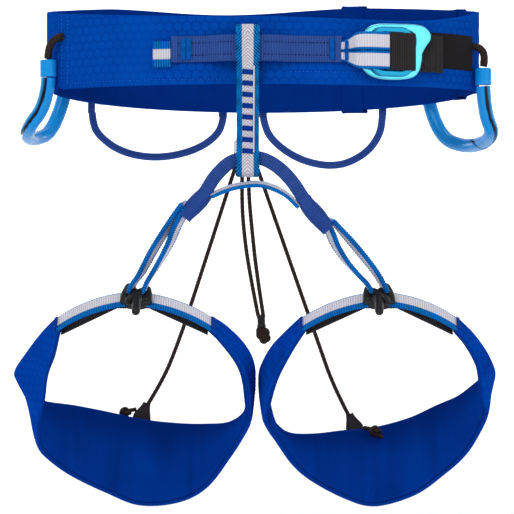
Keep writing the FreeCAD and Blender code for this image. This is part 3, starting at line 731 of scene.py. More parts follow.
def braided(line: Array, radius: float, way: Array, sides: int = 16, pitch: float = 3.2 * MM) -> Skin:
    """A braided cord: its radius rises by 5% along two sets of spirals that cross.

    Args:
        line: The middle line.
        radius: The cord's radius.
        way: A direction that is nowhere along the line.
        sides: How many places there are round the section.
        pitch: The length of one turn of a spiral.

    Returns:
        The skin.
    """
    run = run_along(line)[:, None]
    turn = np.linspace(0, 2 * math.pi, sides, endpoint=False)[None]
    first = np.cos(run * 2 * math.pi / pitch + 4 * turn)
    second = np.cos(run * 2 * math.pi / pitch - 4 * turn)
    return tube(line, radius * (1 + 0.05 * np.maximum(first, second)), way, sides)


def blob(centre: Points, half: Points, powers: tuple = (2.5, 2.5), turn: Array | None = None,
         lumps: float = 0.0) -> Skin:
    """A rounded block: a sphere stretched to three half sizes, its corners filled out by two powers.

    Each of cosine and sine is taken to the power 2 over the given power, keeping its sign. The poles are
    closed rows.

    Args:
        centre: Its middle, in millimetres.
        half: Its half sizes, in millimetres.
        powers: How square it is seen from the side and from above; 2 is round.
        turn: A 3 by 3 turn about its middle.
        lumps: How uneven it is, as a share of its size.

    Returns:
        The skin.
    """
    rows, columns = 24, 32
    rise = np.linspace(-math.pi / 2, math.pi / 2, rows + 2)[1:-1, None]
    around = np.linspace(0, 2 * math.pi, columns, endpoint=False)[None]

    def bent(value: Array, power: float) -> Array:
        """A value to the power 2 over the given one, keeping its sign."""
        return np.sign(value) * np.abs(value) ** (2 / power)

    level = bent(np.cos(rise), powers[0])
    points = np.stack([level * bent(np.cos(around), powers[1]), level * bent(np.sin(around), powers[1]),
                       np.broadcast_to(bent(np.sin(rise), powers[0]), (rows, columns))], -1)
    if lumps:
        points = points * (1 + lumps * np.sin(3 * around + 5 * rise) * np.cos(4 * rise))[..., None]
    points = points * np.asarray(half) * MM
    if turn is not None:
        points = points @ np.asarray(turn).T
    points = points + np.asarray(centre) * MM
    return grid_skin(points, rise[:, 0] * half[2] * MM, np.linspace(0, 6.28, columns + 1) * half[0] * MM)


def knot(centre: Points, size: float, cord: float, turn: Array | None = None) -> Skin:
    """An overhand knot pulled tight: a trefoil line, whose radius is 2 plus the cosine of three turns.

    Args:
        centre: Its middle, in millimetres.
        size: Its outer half size, in millimetres.
        cord: The cord's radius, in millimetres.
        turn: A 3 by 3 turn about its middle.

    Returns:
        The skin.
    """
    t = np.linspace(0, 2 * math.pi, 120, endpoint=False)
    scale = (size - cord) / 3
    line = np.stack([(2 + np.cos(3 * t)) * np.cos(2 * t), (2 + np.cos(3 * t)) * np.sin(2 * t),
                     1.4 * np.sin(3 * t)], -1) * scale * MM
    if turn is not None:
        line = line @ np.asarray(turn).T
    line = line + np.asarray(centre) * MM
    along = unit(np.roll(line, -1, 0) - np.roll(line, 1, 0))
    way = np.cross(along, np.roll(along, -1, 0) - np.roll(along, 1, 0))
    return tube(line, cord * MM, way, 14, ring=True)


def stitches(places: Array, along: Array, out: Array, length: float = 1.7 * MM, width: float = 0.5 * MM,
             height: float = 0.35 * MM) -> Skin:
    """A row of stitches: at each place a small six-pointed bead, long along the seam.

    Args:
        places: The middles of the stitches.
        along: The seam's direction at each.
        out: The direction out of the cloth at each.
        length: Each stitch's length.
        width: Its width.
        height: How far it stands out.

    Returns:
        The skin.
    """
    along, out = unit(np.broadcast_to(along, places.shape)), unit(np.broadcast_to(out, places.shape))
    across = np.cross(out, along)
    reach = np.stack([along * length / 2, across * width / 2, -along * length / 2, -across * width / 2,
                      out * height, -out * height], 1)
    points = (places[:, None] + reach).reshape(-1, 3)
    upper = np.array([[0, 1, 4], [1, 2, 4], [2, 3, 4], [3, 0, 4]])
    eight = np.vstack([upper, upper[:, [1, 0, 2]] + [0, 0, 1]])
    faces = (eight[None] + 6 * np.arange(len(places))[:, None, None]).reshape(-1, 3)
    count = len(points)
    ones = np.ones(count)
    return Skin(points, [faces], np.zeros((len(faces) * 3, 2)), 0 * ones, ones, 0 * ones)


def seam(line: Array, out: Array, pitch: float = 2.6 * MM, **sizes: float) -> Skin:
    """Stitches along a line of places, one every pitch; out is one direction or one for each place.

    Args:
        line: The seam's places.
        out: The direction out of the cloth.
        pitch: The distance between stitches.
        sizes: The stitches' own sizes, as stitches takes them.

    Returns:
        The skin.
    """
    places = evenly(line, pitch)
    out = np.broadcast_to(out, line.shape)
    pick = np.linspace(0, len(line) - 1, len(places)).round().astype(int)
    return stitches(places, np.gradient(places, axis=0), out[pick], **sizes)


def piece(name: str, skins: list[Skin], finish: Finish, body: str | None, nodes: tuple[str, ...] = ()) -> bpy.types.Object:
    """Make an object of skins, give it its finish, hang it on the body that it rides on and hide the frame's
    nodes that it replaces.

    Args:
        name: The object's name.
        skins: The skins that it is made of.
        finish: Its finish.
        body: The body that it rides on; None for a piece that runs between two, which is hung on neither.
        nodes: The frame's nodes that it replaces.

    Returns:
        The object, at the origin.
    """
    starts = np.cumsum([0] + [len(skin.points) for skin in skins])
    faces = [face + start for skin, start in zip(skins, starts) for face in skin.faces]
    mesh = bpy.data.meshes.new(name)
    points = np.vstack([skin.points for skin in skins])
    mesh.from_pydata(points, [], [f for face in faces for f in face.tolist()])
    mesh.uv_layers.new(name="cloth").data.foreach_set("uv", np.vstack([s.cloth for s in skins]).ravel())
    for word in ("side", "relief", "wear_and_glare"):
        layer = mesh.attributes.new(word, "FLOAT", "POINT")
        layer.data.foreach_set("value", np.concatenate([getattr(s, word) for s in skins]))
    mesh.polygons.foreach_set("use_smooth", np.ones(len(mesh.polygons), bool))
    mesh.set_sharp_from_angle(angle=SHARP)
    mesh.materials.append(finish.material())
    mesh.update()
    thing = bpy.data.objects.new(name, mesh)
    bpy.context.collection.objects.link(thing)
    if body:
        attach(thing, body)
    if nodes:
        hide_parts(*nodes)
    log.info("%s: %d faces on %s", name, len(mesh.polygons), body or "two bodies")
    return thing


# ---------------------------------------------------------------- camera, floor, light

@dataclass
class Studio:
    """A level camera in front of the harness, a pale sweep behind it and soft lights round it."""

    distance: float = 1.6
    height: float = -0.143
    lens: float = 160.1
    floor: float = -0.36

    def camera(self) -> None:
        """A level camera that looks along +Y."""
        lens = bpy.data.cameras.new("camera")
        lens.lens, lens.sensor_width, lens.clip_start = self.lens, 36.0, 0.05
        eye = bpy.data.objects.new("camera", lens)
        eye.location, eye.rotation_euler = (0, -self.distance, self.height), (math.pi / 2, 0, 0)
        bpy.context.collection.objects.link(eye)
        bpy.context.scene.camera = eye

    def sweep(self) -> None:
        """A floor that curves up into a wall: a line of floor, quarter circle and wall, carried across."""
        radius, wall = 0.8, 2.8
        turn = np.linspace(0, math.pi / 2, 24)
        y = np.concatenate([[-6.0], wall + radius * np.sin(turn), [wall + radius]])
        z = np.concatenate([[self.floor], self.floor + radius * (1 - np.cos(turn)), [5.0]])
        points = np.array([[(x, b, c) for x in (-6.0, 6.0)] for b, c in zip(y, z)]).reshape(-1, 3)
        count = len(y)
        faces = [(2 * i, 2 * i + 1, 2 * i + 3, 2 * i + 2) for i in range(count - 1)]
        mesh = bpy.data.meshes.new("sweep")
        mesh.from_pydata(points, [], faces)
        mesh.polygons.foreach_set("use_smooth", np.ones(len(faces), bool))
        mesh.materials.append(PAPER.material())
        thing = bpy.data.objects.new("sweep", mesh)
        bpy.context.collection.objects.link(thing)

    def lamp(self, name: str, place: tuple, target: tuple, size: float, power: float) -> None:
        """A square soft light at a place, aimed at a target.

        Args:
            name: The lamp's name.
            place: Where it hangs.
            target: Where it is aimed.
            size: The side of its square.
            power: Its power in watts.
        """
        light = bpy.data.lights.new(name, "AREA")
        light.size, light.energy = size, power
        thing = bpy.data.objects.new(name, light)
        way = unit(np.array(place) - np.array(target))
        thing.location = place
        thing.rotation_euler = (math.acos(way[2]), 0, math.atan2(way[0], -way[1]))
        bpy.context.collection.objects.link(thing)

    def build(self) -> None:
        """Camera, sweep, three lights on the harness, two on the wall and a bright room."""
        self.camera()
        self.sweep()
        self.lamp("key", (-0.7, -2.1, 1.2), (0, 0, -0.12), 0.9, 21.5)
        self.lamp("fill", (1.6, -1.5, 0.3), (0, 0, -0.15), 1.2, 6)
        self.lamp("top", (0.2, 0.3, 1.9), (0, 0, -0.15), 1.0, 10)
        for name, x in (("wall_left", -2.2), ("wall_right", 2.2)):
            self.lamp(name, (x, 1.7, 0.5), (0, 3.6, 0.0), 1.2, 56)
        world = bpy.data.worlds.new("room")
        world.use_nodes = True
        world.node_tree.nodes["Background"].inputs[0].default_value = (1, 1, 1, 1)
        world.node_tree.nodes["Background"].inputs[1].default_value = 0.5
        bpy.context.scene.world = world
        bpy.context.scene.view_settings.view_transform = "Standard"


# ---------------------------------------------------------------- cords

@dataclass
class RearCords:
    """The elastics and loose tails behind the harness, with the clip that they hang from."""

    radius: float = 1.5
    elastics: dict = field(default_factory=lambda: {
        Side.LEFT: [(-13.8, 80, -70.4), (-48.5, 80, -178.5), (-58, 80, -206), (-68.5, 79.8, -232.5),
                    (-80.2, 79.7, -251.2)],
        Side.RIGHT: [(-2.2, 80, -70.4), (46.5, 80, -210.5), (56.5, 79.8, -238.5), (67.3, 79.7, -259.3)]})
    tails: dict = field(default_factory=lambda: {
        Side.LEFT: [(-10.6, 80, -71.2), (-11.4, 80, -96), (-9.8, 80, -124), (-5.6, 80, -154),
                    (0.8, 80, -186)],
        Side.RIGHT: [(-6.6, 80, -71.2), (-6.2, 80, -96), (-3.6, 80, -124), (-0.4, 80, -154),
                     (4.6, 80, -186)]})

    def build(self) -> None:
        """Elastics, tails with their sleeve and knot, clip and hanger."""
        for side, points in self.elastics.items():
            line = route(points)
            name = f"elastic_{side.value}"
            cord = piece(name + "_cord", [braided(line, self.radius * MM, BACK)], CORD, None, (name,))
            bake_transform(cord)
        sleeve, end = self.sleeve(), self.end_knot()
        for side, points in self.tails.items():
            line = route(points)
            name = f"elastic_tail_{side.value}"
            cord = piece(name + "_cord", [braided(line, self.radius * MM, BACK)], CORD, "elastic_tails",
                         (name,))
        self.clip()

    def sleeve(self) -> bpy.types.Object:
        """A shrunk sleeve that holds the two tails together: a tube, waisted between two rims.

        Returns:
            The sleeve's object.
        """
        line = evenly(np.array([[2.9, 80, -185.4], [3.4, 80, -194.8]]) * MM, 0.3 * MM)
        t = np.linspace(0, 1, len(line))
        rim = np.exp(-((t - 0.12) / 0.1) ** 2) + np.exp(-((t - 0.88) / 0.1) ** 2)
        skin = tube(line, (2.9 + 0.5 * rim) * MM, BACK, 24)
        return piece("tail_sleeve_wrap", [skin], RUBBER, "elastic_tails", ("tail_sleeve",))

    def end_knot(self) -> bpy.types.Object:
        """The tails' knot: a trefoil over a round heart, with two short cut ends below it.

        Returns:
            The knot's object.
        """
        centre = (4.0, 80.0, -198.7)
        upright = np.array([[1, 0, 0], [0, 0, -1], [0, 1, 0]])
        skins = [knot(centre, 5.6, 1.9, upright), blob(centre, (3.2, 2.8, 3.4)),
                 knot((5.6, 80, -202.6), 4.6, 1.7, upright)]
        return piece("tail_knot_cord", skins, CORD, "elastic_tails", ("tail_knot",))

    def clip(self) -> None:
        """A flat plastic ladder clip on a folded webbing hanger."""
        low, high = corners("elastic_clip")
        middle, half = (low + high) / 2, (high - low) / 2
        outer = rounded(half[0], half[2], 3 * MM)
        inner = rounded(half[0] - 3.2 * MM, half[2] - 3.6 * MM, 1.2 * MM)
        plate = ring_plate(outer, inner, 2 * half[1], 0.6 * MM)
        plate.points = plate.points + middle
        piece("elastic_clip_plate", [plate], CLIP_PLASTIC, "belt", ("elastic_clip",))
        low, high = corners("elastic_hanger")
        middle = (low + high) / 2
        line = evenly(np.array([[*middle[:2], high[2]], [*middle[:2], low[2]]]), FINE_STEP)
        tape = strip(line, ACROSS, high[0] - low[0], high[1] - low[1], Ribs())
        piece("elastic_hanger_tape", [tape], BLACK_TAPE, "belt", ("elastic_hanger",))


def rounded(half_width: float, half_height: float, radius: float, count: int = 96) -> Array:
    """The outline of a rounded rectangle about the origin, in X and Z, as evenly spaced places.

    Four quarter circles, a quarter turn apart, joined by straight sides.

    Args:
        half_width: Half its width.
        half_height: Half its height.
        radius: Its corners' radius.
        count: How many places it has.

    Returns:
        The places, in order round it.
    """
    turn = np.linspace(0, 2 * math.pi, count, endpoint=False)
    centre = np.stack([np.sign(np.cos(turn + 1e-9)) * (half_width - radius),
                       np.sign(np.sin(turn + 1e-9)) * (half_height - radius)], -1)
    ring = centre + radius * np.stack([np.cos(turn), np.sin(turn)], -1)
    return evenly(np.vstack([ring, ring[:1]]), length_of(np.vstack([ring, ring[:1]])) / count)[:-1]


def ring_plate(outer: Array, inner: Array, thickness: float, bevel: float) -> Skin:
    """A flat ring between two outlines in X and Z, its four edges rounded, its thickness along Y.

    Each section runs from the outer outline to the inner one and back, on a rounded rectangle.

    Args:
        outer: The outer outline.
        inner: The inner one, with as many places.
        thickness: The ring's thickness.
        bevel: The radius of its edges.

    Returns:
        The skin.
    """
    arc = np.linspace(0, math.pi / 2, 6)
    gap = np.linalg.norm(inner - outer, axis=1)[:, None]
    half = thickness / 2
    inset, up = bevel * (1 - np.cos(arc)), half - bevel + bevel * np.sin(arc)
    offset, base = np.concatenate([inset, -inset[::-1]]), np.arange(12) > 5
    level = np.concatenate([up, up[::-1]])
    offset, base = np.append(offset, offset[::-1])[None], np.append(base, base[::-1])[None]
    rise = np.append(level, -level[::-1])
    share = np.where(base, 1 + offset / gap, offset / gap)
    flat = outer[:, None] + (inner - outer)[:, None] * share[..., None]
    points = np.stack([flat[..., 0], np.broadcast_to(-rise, share.shape), flat[..., 1]], -1)
    closed = np.vstack([outer, outer[:1]])
    run = run_along(closed)
    across = np.linspace(0, 2 * float(gap.mean()) + 2 * thickness, points.shape[1] + 1)
    rim = np.broadcast_to(np.abs(np.abs(rise) - half + bevel * 0.3) < bevel * 0.45, share.shape)
    return grid_skin(points, run, across, wear_and_glare=rim * 1.0, ring=True)


# ---------------------------------------------------------------- belt

def honeycomb(along: Array, up: Array, width: float, groove: float) -> Array:
    """A net of hexagons with points up: 0 on their walls, 1 inside.

    The middles lie on a grid of one width by one width times the root of 3, and on the same grid moved by
    half; the distance to the nearest wall is half a width less the furthest reach along three directions.

    Args:
        along: Distances along the cloth.
        up: Distances up it.
        width: The hexagons' width.
        groove: Half the width of the groove between them.

    Returns:
        The height at each place.
    """
    cell = np.array([width, width * math.sqrt(3)])
    spots = np.stack([along, up], -1)
    one, two = spots % cell - cell / 2, (spots + cell / 2) % cell - cell / 2
    near = np.where((np.linalg.norm(one, axis=-1) < np.linalg.norm(two, axis=-1))[..., None], one, two)
    ways = np.array([[1, 0], [0.5, math.sqrt(0.75)], [-0.5, math.sqrt(0.75)]])
    wall = width / 2 - np.abs(near @ ways.T).max(-1)
    return smooth_step(wall / groove)


@dataclass
class Belt:
    """The padded waist belt: an ellipse in plan, low in front and tall behind, in plies."""

    centre: float = 4.5 * MM
    half_width: float = 151.5 * MM
    half_depth: float = 80 * MM
    cell: float = 6.2 * MM
    liner: tuple = (-7.0 * MM, -4.5 * MM)
    core: tuple = (-4.4 * MM, -1.6 * MM)
    shell: tuple = (-1.5 * MM, 0.0)
    back_start: float = 2.3
    front_end: float = 199.8
    panel_start: float = 199.95
    panel_stop: float = 302.5
    right_start: float = 283.2
    right_stop: float = 361.9

    def wall(self, turn: Amount, grow: Amount = 0.0) -> tuple[Array, Array]:
        """X and Y on the belt's wall at turns in degrees from +X, grown outwards.

        Args:
            turn: Turns in degrees.
            grow: How far outwards.

        Returns:
            The X and the Y of each place.
        """
        turn = np.radians(turn)
        x = self.centre + (self.half_width + grow) * np.cos(turn)
        return x, (self.half_depth + grow) * np.sin(turn)

    def along(self, turn: float) -> Array:
        """The level direction along the wall at a turn."""
        near, far = (np.array(self.wall(turn + step)) for step in (-0.02, 0.02))
        return np.append(unit(far - near), 0)

    def top(self, turn: Array, y: Array) -> Array:
        """The upper edge: it rises from front to back, and sags in the right front and middle back.

        Args:
            turn: Turns in degrees.
            y: The Y of the wall at each.

        Returns:
            The height at each.
        """
        def sag(middle: float, half: float) -> Array:
            """A smooth dip from 0 to 1 and back round a turn."""
            off = np.abs((turn - middle + 180) % 360 - 180)
            return smooth_step(1 - off / half)

        return 28.5 * MM + 0.1406 * y - 3.8 * MM * sag(314, 46) - 5.5 * MM * sag(100, 42)

    def low(self, y: Array) -> Array:
        """The lower edge: level in front, dropping towards the back."""
        return -28 * MM - 0.142 * np.maximum(y - 15 * MM, 0)

    def turns(self, start: float, stop: float, step: float) -> tuple[Array, Array]:
        """Turns from start to stop, evenly spaced along the wall, and the distance along at each.

        Args:
            start: The first turn, in degrees.
            stop: The last turn.
            step: The distance between places.

        Returns:
            The turns, and the distance along the wall at each.
        """
        dense = np.linspace(start, stop, 2000)
        line = np.stack(self.wall(dense), -1)
        run = run_along(line)
        places = np.linspace(0, run[-1], int(run[-1] / step) + 1)
        return np.interp(places, run, dense), places

    def layer(self, start: float, stop: float, ply: tuple, step: float = CLOTH_STEP, rows: int = 60,
              relief: Callable | None = None, corners: tuple = (0.0, 0.0), inset: float = 0.0,
              ring: bool = False, puff: float = 0.0, folds: float = 0.0) -> Skin:
        """One ply of the belt between two turns.

        Its section is a flat strip with round edges, moved along the wall; the relief presses grooves into
        its outer face and paints shade in them, and its end corners are quarter circles.

        Args:
            start: The turn at which it starts, in degrees.
            stop: The turn at which it stops.
            ply: Its inner and outer growth from the wall.
            step: The distance between places along it.
            rows: Places up its outer face.
            relief: A function of the distances along and up that gives 0 in grooves and 1 on top.
            corners: The radii of its lower and upper corners at the ends.
            inset: How far its edges stay inside the belt's.
            ring: Whether it goes all round.
            puff: How much further the middle of its faces stands than their edges.
            folds: How deep the soft folds of its inner face are.

        Returns:
            The skin.
        """
        turn, run = self.turns(start, stop, step)
        if ring:
            turn, run = turn[:-1], run
        _, y = self.wall(turn)
        low, high = self.low(y) + inset, self.top(turn, y) - inset
        places = run[:len(turn)]
        from_end = np.minimum(places, run[-1] - places)
        if not ring:
            for radius, sign in zip(corners, (1, -1)):
                if radius:
                    cut = radius - np.sqrt(np.maximum(radius**2 - np.maximum(radius - from_end, 0) ** 2, 0))
                    low, high = (low + cut, high) if sign > 0 else (low, high - cut)
        half = (ply[1] - ply[0]) / 2
        middle, over, out = outline(rows, 5)
        level, reach = ((low + high) / 2)[:, None], ((high - low) / 2 - half)[:, None]
        z = level + reach * middle + half * over
        swell = 1 - np.abs(middle) ** 6
        growth = (ply[0] + ply[1]) / 2 + half * out + puff * swell * np.sign(out)
        growth = np.broadcast_to(growth, z.shape).copy()
        height = np.ones(z.shape)
        if folds:
            whole = 2 * math.pi * 3 / run[-1]
            wave = ripple(np.sin(places[:, None] * whole) * 0.1, z * 0.8, 0.9) + 0.6 * np.sin(
                places[:, None] * whole * 14 + z * 160) * smooth_step(np.abs(middle) * 1.4 - 0.4)
            growth += folds * wave * swell * (out < -0.99)
        if relief is not None:
            height = relief(np.broadcast_to(places[:, None], z.shape), z)
            fade = smooth_step((1 - np.abs(middle)) * 12) * (out > 0.99)
            growth -= (1 - height) * 0.4 * MM * fade
            # These heights also go to the relief number, which darkens the colour in the grooves: painted
            # shade.
            height = np.where(out > 0.5, height, 1.0)
        x, y = self.wall(turn[:, None], growth)
        points = np.stack([x, y, z], -1)
        column = np.append(z.mean(0), z[:, 0].mean())
        side = np.broadcast_to(middle, z.shape)
        return grid_skin(points, run, column, side=side, relief=height, ring=ring)

    def hexes(self, along: Array, up: Array) -> Array:
        """The belt fabric's honeycomb, fainter in slow patches; its grooves are pressed in and painted as
        shade.
        """
        faint = 0.55 + 0.45 * np.clip(1.2 * np.abs(ripple(along * 0.35, up * 0.2, 1.7)) * 2.2, 0, 1)
        return 1 - (1 - honeycomb(along, up, self.cell, 0.6 * MM)) * faint * 0.75

    def stitch_row(self, start: float, stop: float, level: Array) -> Skin:
        """Stitches along the wall at a level, or up it between two where start and stop are one turn.

        Args:
            start: The first turn, in degrees.
            stop: The last turn.
            level: The height, or the lowest and highest one.

        Returns:
            The skin.
        """
        if start == stop:
            z = np.linspace(*level, 60)
            turn = np.full(60, start)
        else:
            turn, _ = self.turns(start, stop, 0.5 * MM)
            z = np.full(len(turn), level)
        x, y = self.wall(turn, 0.15 * MM)
        out = np.stack([(x - self.centre) / self.half_width**2, y / self.half_depth**2, 0 * z], -1)
        return seam(np.stack([x, y, z], -1), out)

    def band(self, left: float, right: float, low: float, high: float) -> Skin:
        """A webbing keeper sewn round the back of the belt: a flat loop round all its plies.

        Args:
            left: The X at its left side, in millimetres.
            right: The X at its right side.
            low: The Z of its lower end.
            high: The Z of its upper end.

        Returns:
            The skin.
        """
        inner, outer = self.liner[0] - 0.5 * MM, 0.7 * MM
        loop = rounded((outer - inner) / 2, (high - low) / 2 * MM, 1.6 * MM, 160)
        grow, z = loop[:, 0] + (outer + inner) / 2, loop[:, 1] + (high + low) / 2 * MM
        at = (left + right) / 2 * MM
        turn = math.degrees(math.acos((at - self.centre) / self.half_width))
        x, y = self.wall(np.full(len(grow), turn), grow)
        return strip(np.stack([x, y, z], -1), self.along(turn), (right - left) * MM, 0.9 * MM,
                     Ribs(1.75 * MM, 0.2), ring=True)

    def tab(self, turn_about: float, low: float, high: float, width: float) -> Skin:
        """A flat webbing tab outside the wall at a turn.

        Args:
            turn_about: Its turn, in degrees.
            low: Its lower end.
            high: Its upper end.
            width: Its width.

        Returns:
            The skin.
        """
        x, y = self.wall(np.full(2, turn_about), 0.95 * MM)
        line = evenly(np.stack([x, y, np.array([high, low])], -1), FINE_STEP)
        return strip(line, self.along(turn_about), width, 1.6 * MM, Ribs(1.75 * MM, 0.1))

    def build(self) -> None:
        """All plies from inside to outside, seams, the patch, the keepers and the gear loops' tabs."""
        def creases(along: Array, up: Array) -> Array:
            """Upright creases in the lining: pressed into its outer face and painted darker there as shade.
            """
            return np.clip(0.6 + 0.9 * ripple(along * 3.0, up * 0.25, 0.4), 0, 1)

        skin = self.layer(0, 360, self.liner, 1.2 * MM, 40, creases, ring=True, puff=0.2 * MM, folds=1.8 * MM)
        piece("belt_lining", [skin], LINING, "belt", ("belt_liner",))
        skin = self.layer(self.back_start, self.right_start - 0.3, self.core, 1.6 * MM, 30, inset=0.4 * MM)
        piece("belt_padding", [skin], FOAM, "belt", ("belt_core",))
        skin = self.layer(self.right_start, self.right_stop, self.core, 0.7 * MM, 80, self.hexes,
                          (5 * MM, 5 * MM), puff=0.3 * MM)
        piece("belt_right_panel", [skin], BELT_CLOTH, "belt", ("right_front_panel",))
        skin = self.layer(self.back_start, self.front_end, self.shell, CLOTH_STEP, 76, self.hexes)
        piece("belt_back_shell", [skin], BELT_CLOTH, "belt", ("back_outer_shell",))
        skin = self.layer(self.panel_start, self.panel_stop, self.shell, 0.7 * MM, 80, self.hexes,
                          (7 * MM, 2 * MM), puff=0.2 * MM)
        piece("belt_front_panel", [skin], BELT_CLOTH, "belt", ("long_front_panel",))
        # A dark strip down the front panel's end: drawn as a hem, and dark so that it also stands for the
        # shade line at the panel's edge (painted shade).
        height = np.linspace(-22, 13.5, 60) * MM
        x, y = self.wall(np.full(60, 302.6), -0.4 * MM)
        hem_and_shade_line = strip(np.stack([x, y, height], -1), ACROSS + 0.4 * BACK, 2.6 * MM, 1.7 * MM,
                    Ribs(1.2 * MM, 0.2, 0.08))
        piece("belt_panel_hem_and_shade_line", [hem_and_shade_line], LINING, "belt")
        rows = [self.stitch_row(start, stop, np.array(level) * MM) for start, stop, level in (
            (208, 263, -24.4), (277, 300, -19.6), (208, 208, (-23, 21)), (301, 301, (-20, 13)),
            (204, 204, (-20, 22)), (10, 170, -33), (10, 170, 31))]
        piece("belt_stitching", rows, THREAD, "belt")
        low, high = corners("strap_patch")
        turn, _ = self.turns(307.5, 343, 0.5 * MM)
        x, y = self.wall(turn, -0.95 * MM)
        line = np.stack([x, y, np.full(len(turn), (low[2] + high[2]) / 2)], -1)
        piece("belt_strap_patch", [strip(line, UP, high[2] - low[2] + 2 * MM, 0.9 * MM)], PATCH, "belt",
              ("strap_patch",))
        bands = [self.band(64.5, 80.9, -37.5, 39.2), self.band(140.7, 150.7, -30.6, 32.6)]
        piece("belt_keeper_loops", bands,
              LINING, "belt", ("belt_keeper_bands",))
        tabs = []
        for x, low in ((-118.5, -39.4), (-25, -40.2), (4.4, -40.2), (91, -39.7)):
            turn = math.degrees(math.acos((x * MM - self.centre) / self.half_width))
            tabs.append(self.tab(turn, low * MM, -16 * MM, 6 * MM))
        piece("rear_gear_tabs", tabs, SLATE, "belt", ("rear_gear_anchors",))
        for side, y in ((Side.LEFT, 36.0), (Side.RIGHT, 56.0)):
            turn = math.degrees(math.asin(y * MM / self.half_depth))
            turn = 180 - turn if side is Side.LEFT else turn
            name = f"front_gear_anchor_{side.value}"
            piece(name + "_tab", [self.tab(turn, -23 * MM, 6 * MM, 11 * MM)], SLATE, "belt", (name,))


# ---------------------------------------------------------------- tie-in strap, belay loop, bridge

@dataclass
class TieIn:
    """The ribbed strap across the front, its sewn ends and the belay loop that hangs on it."""

    strap_line: list = field(default_factory=lambda: [
        (-57, -74.8), (-44, -77.4), (-33, -80.4), (-22, -87.2), (-6, -88.4), (10, -87.2), (21, -82.4),
        (33, -80.6), (45, -78.9), (56.5, -76.9)])
    end_line: list = field(default_factory=lambda: [(-69.5, -71.6), (-63, -73.3), (-57.3, -74.7)])
    height: float = -4.6
    width: float = 17.5
    loop_centre: float = -6.1
    loop_width: float = 15.5
    loop_top: float = 10.9
    loop_low: float = -90.0
    loop_front: float = -94.3
    loop_ply: float = 3.0
    loop_gap: float = 6.4
    bars: int = 8
    first_bar: float = -21.0
    bar_pitch: float = 7.45

    def build(self) -> None:
        """Strap with two seams, end tape, bartacks, and the loop with its bars."""
        line = through([(x, y, self.height) for x, y in self.strap_line], FINE_STEP)
        hems = [strip(part - 1.5 * MM * BACK, UP, self.width * MM, 0.9 * MM, Ribs(1.75 * MM, 0.2, 0.01))
                for part in (line[line[:, 0] < -52.5 * MM], line[line[:, 0] > 52 * MM])]
        strap = strip(line, UP, self.width * MM, 2.5 * MM, Ribs(1.75 * MM, 0.12, 0.01))
        piece("tie_in_webbing", [strap, *hems], SLATE, "belt", ("tie_in_strap",))
        rows = []
        for level in (-4.2, 4.0):
            row = line[(line[:, 0] < -17 * MM) | (line[:, 0] > 5 * MM)] + np.array([0, -1.45, level]) * MM
            for part in (row[row[:, 0] < 0], row[row[:, 0] > 0]):
                rows.append(seam(part, -BACK, 2.4 * MM, length=1.8 * MM, width=1.0 * MM, height=0.6 * MM))
        piece("tie_in_stitching", rows, DARK_THREAD, "belt")
        line = through([(x, y, self.height - 3) for x, y in self.end_line], FINE_STEP)
        end = strip(line, UP, self.width * MM, 2.4 * MM, Ribs())
        piece("tie_in_end_webbing", [end], NARROW_WHITE, "belt", ("tie_in_end_tape",))
        tacks = []
        for x, y, turn in ((-49, -78.8, -13), (50, -80.1, 14), (-45.5, -79.4, -13)):
            way = np.array([math.cos(math.radians(turn)), math.sin(math.radians(turn)), 0])
            middle = np.array([x, y, self.height]) * MM
            upright = evenly(np.array([middle + 7 * MM * UP, middle - 7 * MM * UP]), 0.25 * MM)
            tacks.append(strip(upright, way, 3.2 * MM, 0.9 * MM, Ribs(0.9 * MM, 0.3, 0.06)))
        piece("tie_in_bartack_threads", tacks, BRIGHT_TACK, "belt", ("tie_in_bartacks",))
        self.loop()

    def loop(self) -> None:
        """The belay loop: a racetrack seen edge-on, a little narrower between the bars, and its bars."""
        depth = 2 * self.loop_ply + self.loop_gap
        radius = (depth - self.loop_ply) / 2
        middle, top, low = self.loop_front + depth / 2, self.loop_top - depth / 2, self.loop_low + depth / 2
        turn = np.linspace(0, math.pi, 24)
        upper = np.stack([middle - radius * np.cos(turn), top + radius * np.sin(turn)], -1)
        lower = np.stack([middle + radius * np.cos(turn), low - radius * np.sin(turn)], -1)
        track = np.vstack([upper, lower, upper[:1]])
        line = evenly(np.insert(track, 0, self.loop_centre, 1) * MM, FINE_STEP)[:-1]
        z = line[:, 2] / MM
        waist = smooth_step((z + 80) / 12) * smooth_step((-8 - z) / 10)
        width = (self.loop_width - 0.9 * waist) * MM
        loop = strip(line, ACROSS, width, self.loop_ply * MM, Ribs(1.8 * MM, 0.16, 0.05, 1.0), ring=True)
        piece("belay_loop_tape", [loop], LOOP_TAPE, "belay_loop", ("belay_loop",))
        bars = []
        for i in range(self.bars):
            level = self.first_bar - i * self.bar_pitch
            ends = np.array([[self.loop_centre - 3.6, self.loop_front - 0.1, level + 0.3],
                             [self.loop_centre + 3.6, self.loop_front - 0.1, level - 0.3]]) * MM
            bars.append(strip(evenly(ends, 0.2 * MM), UP, 3.4 * MM, 1.3 * MM, Ribs(0.85 * MM, 0.3, 0.1)))
        piece("belay_loop_bars", bars, TACK, "belay_loop", ("belay_stitch_bars",))
        line = evenly(np.array([[self.loop_centre + 4.1, self.loop_front - 0.15, -17],
                                [self.loop_centre + 3.9, self.loop_front - 0.15, -74]]) * MM, FINE_STEP)
        piece("belay_loop_piping", [strip(line, ACROSS, 1.3 * MM, 0.8 * MM, Ribs(1.8 * MM, 0.15))], TAPE,
              "belay_loop")


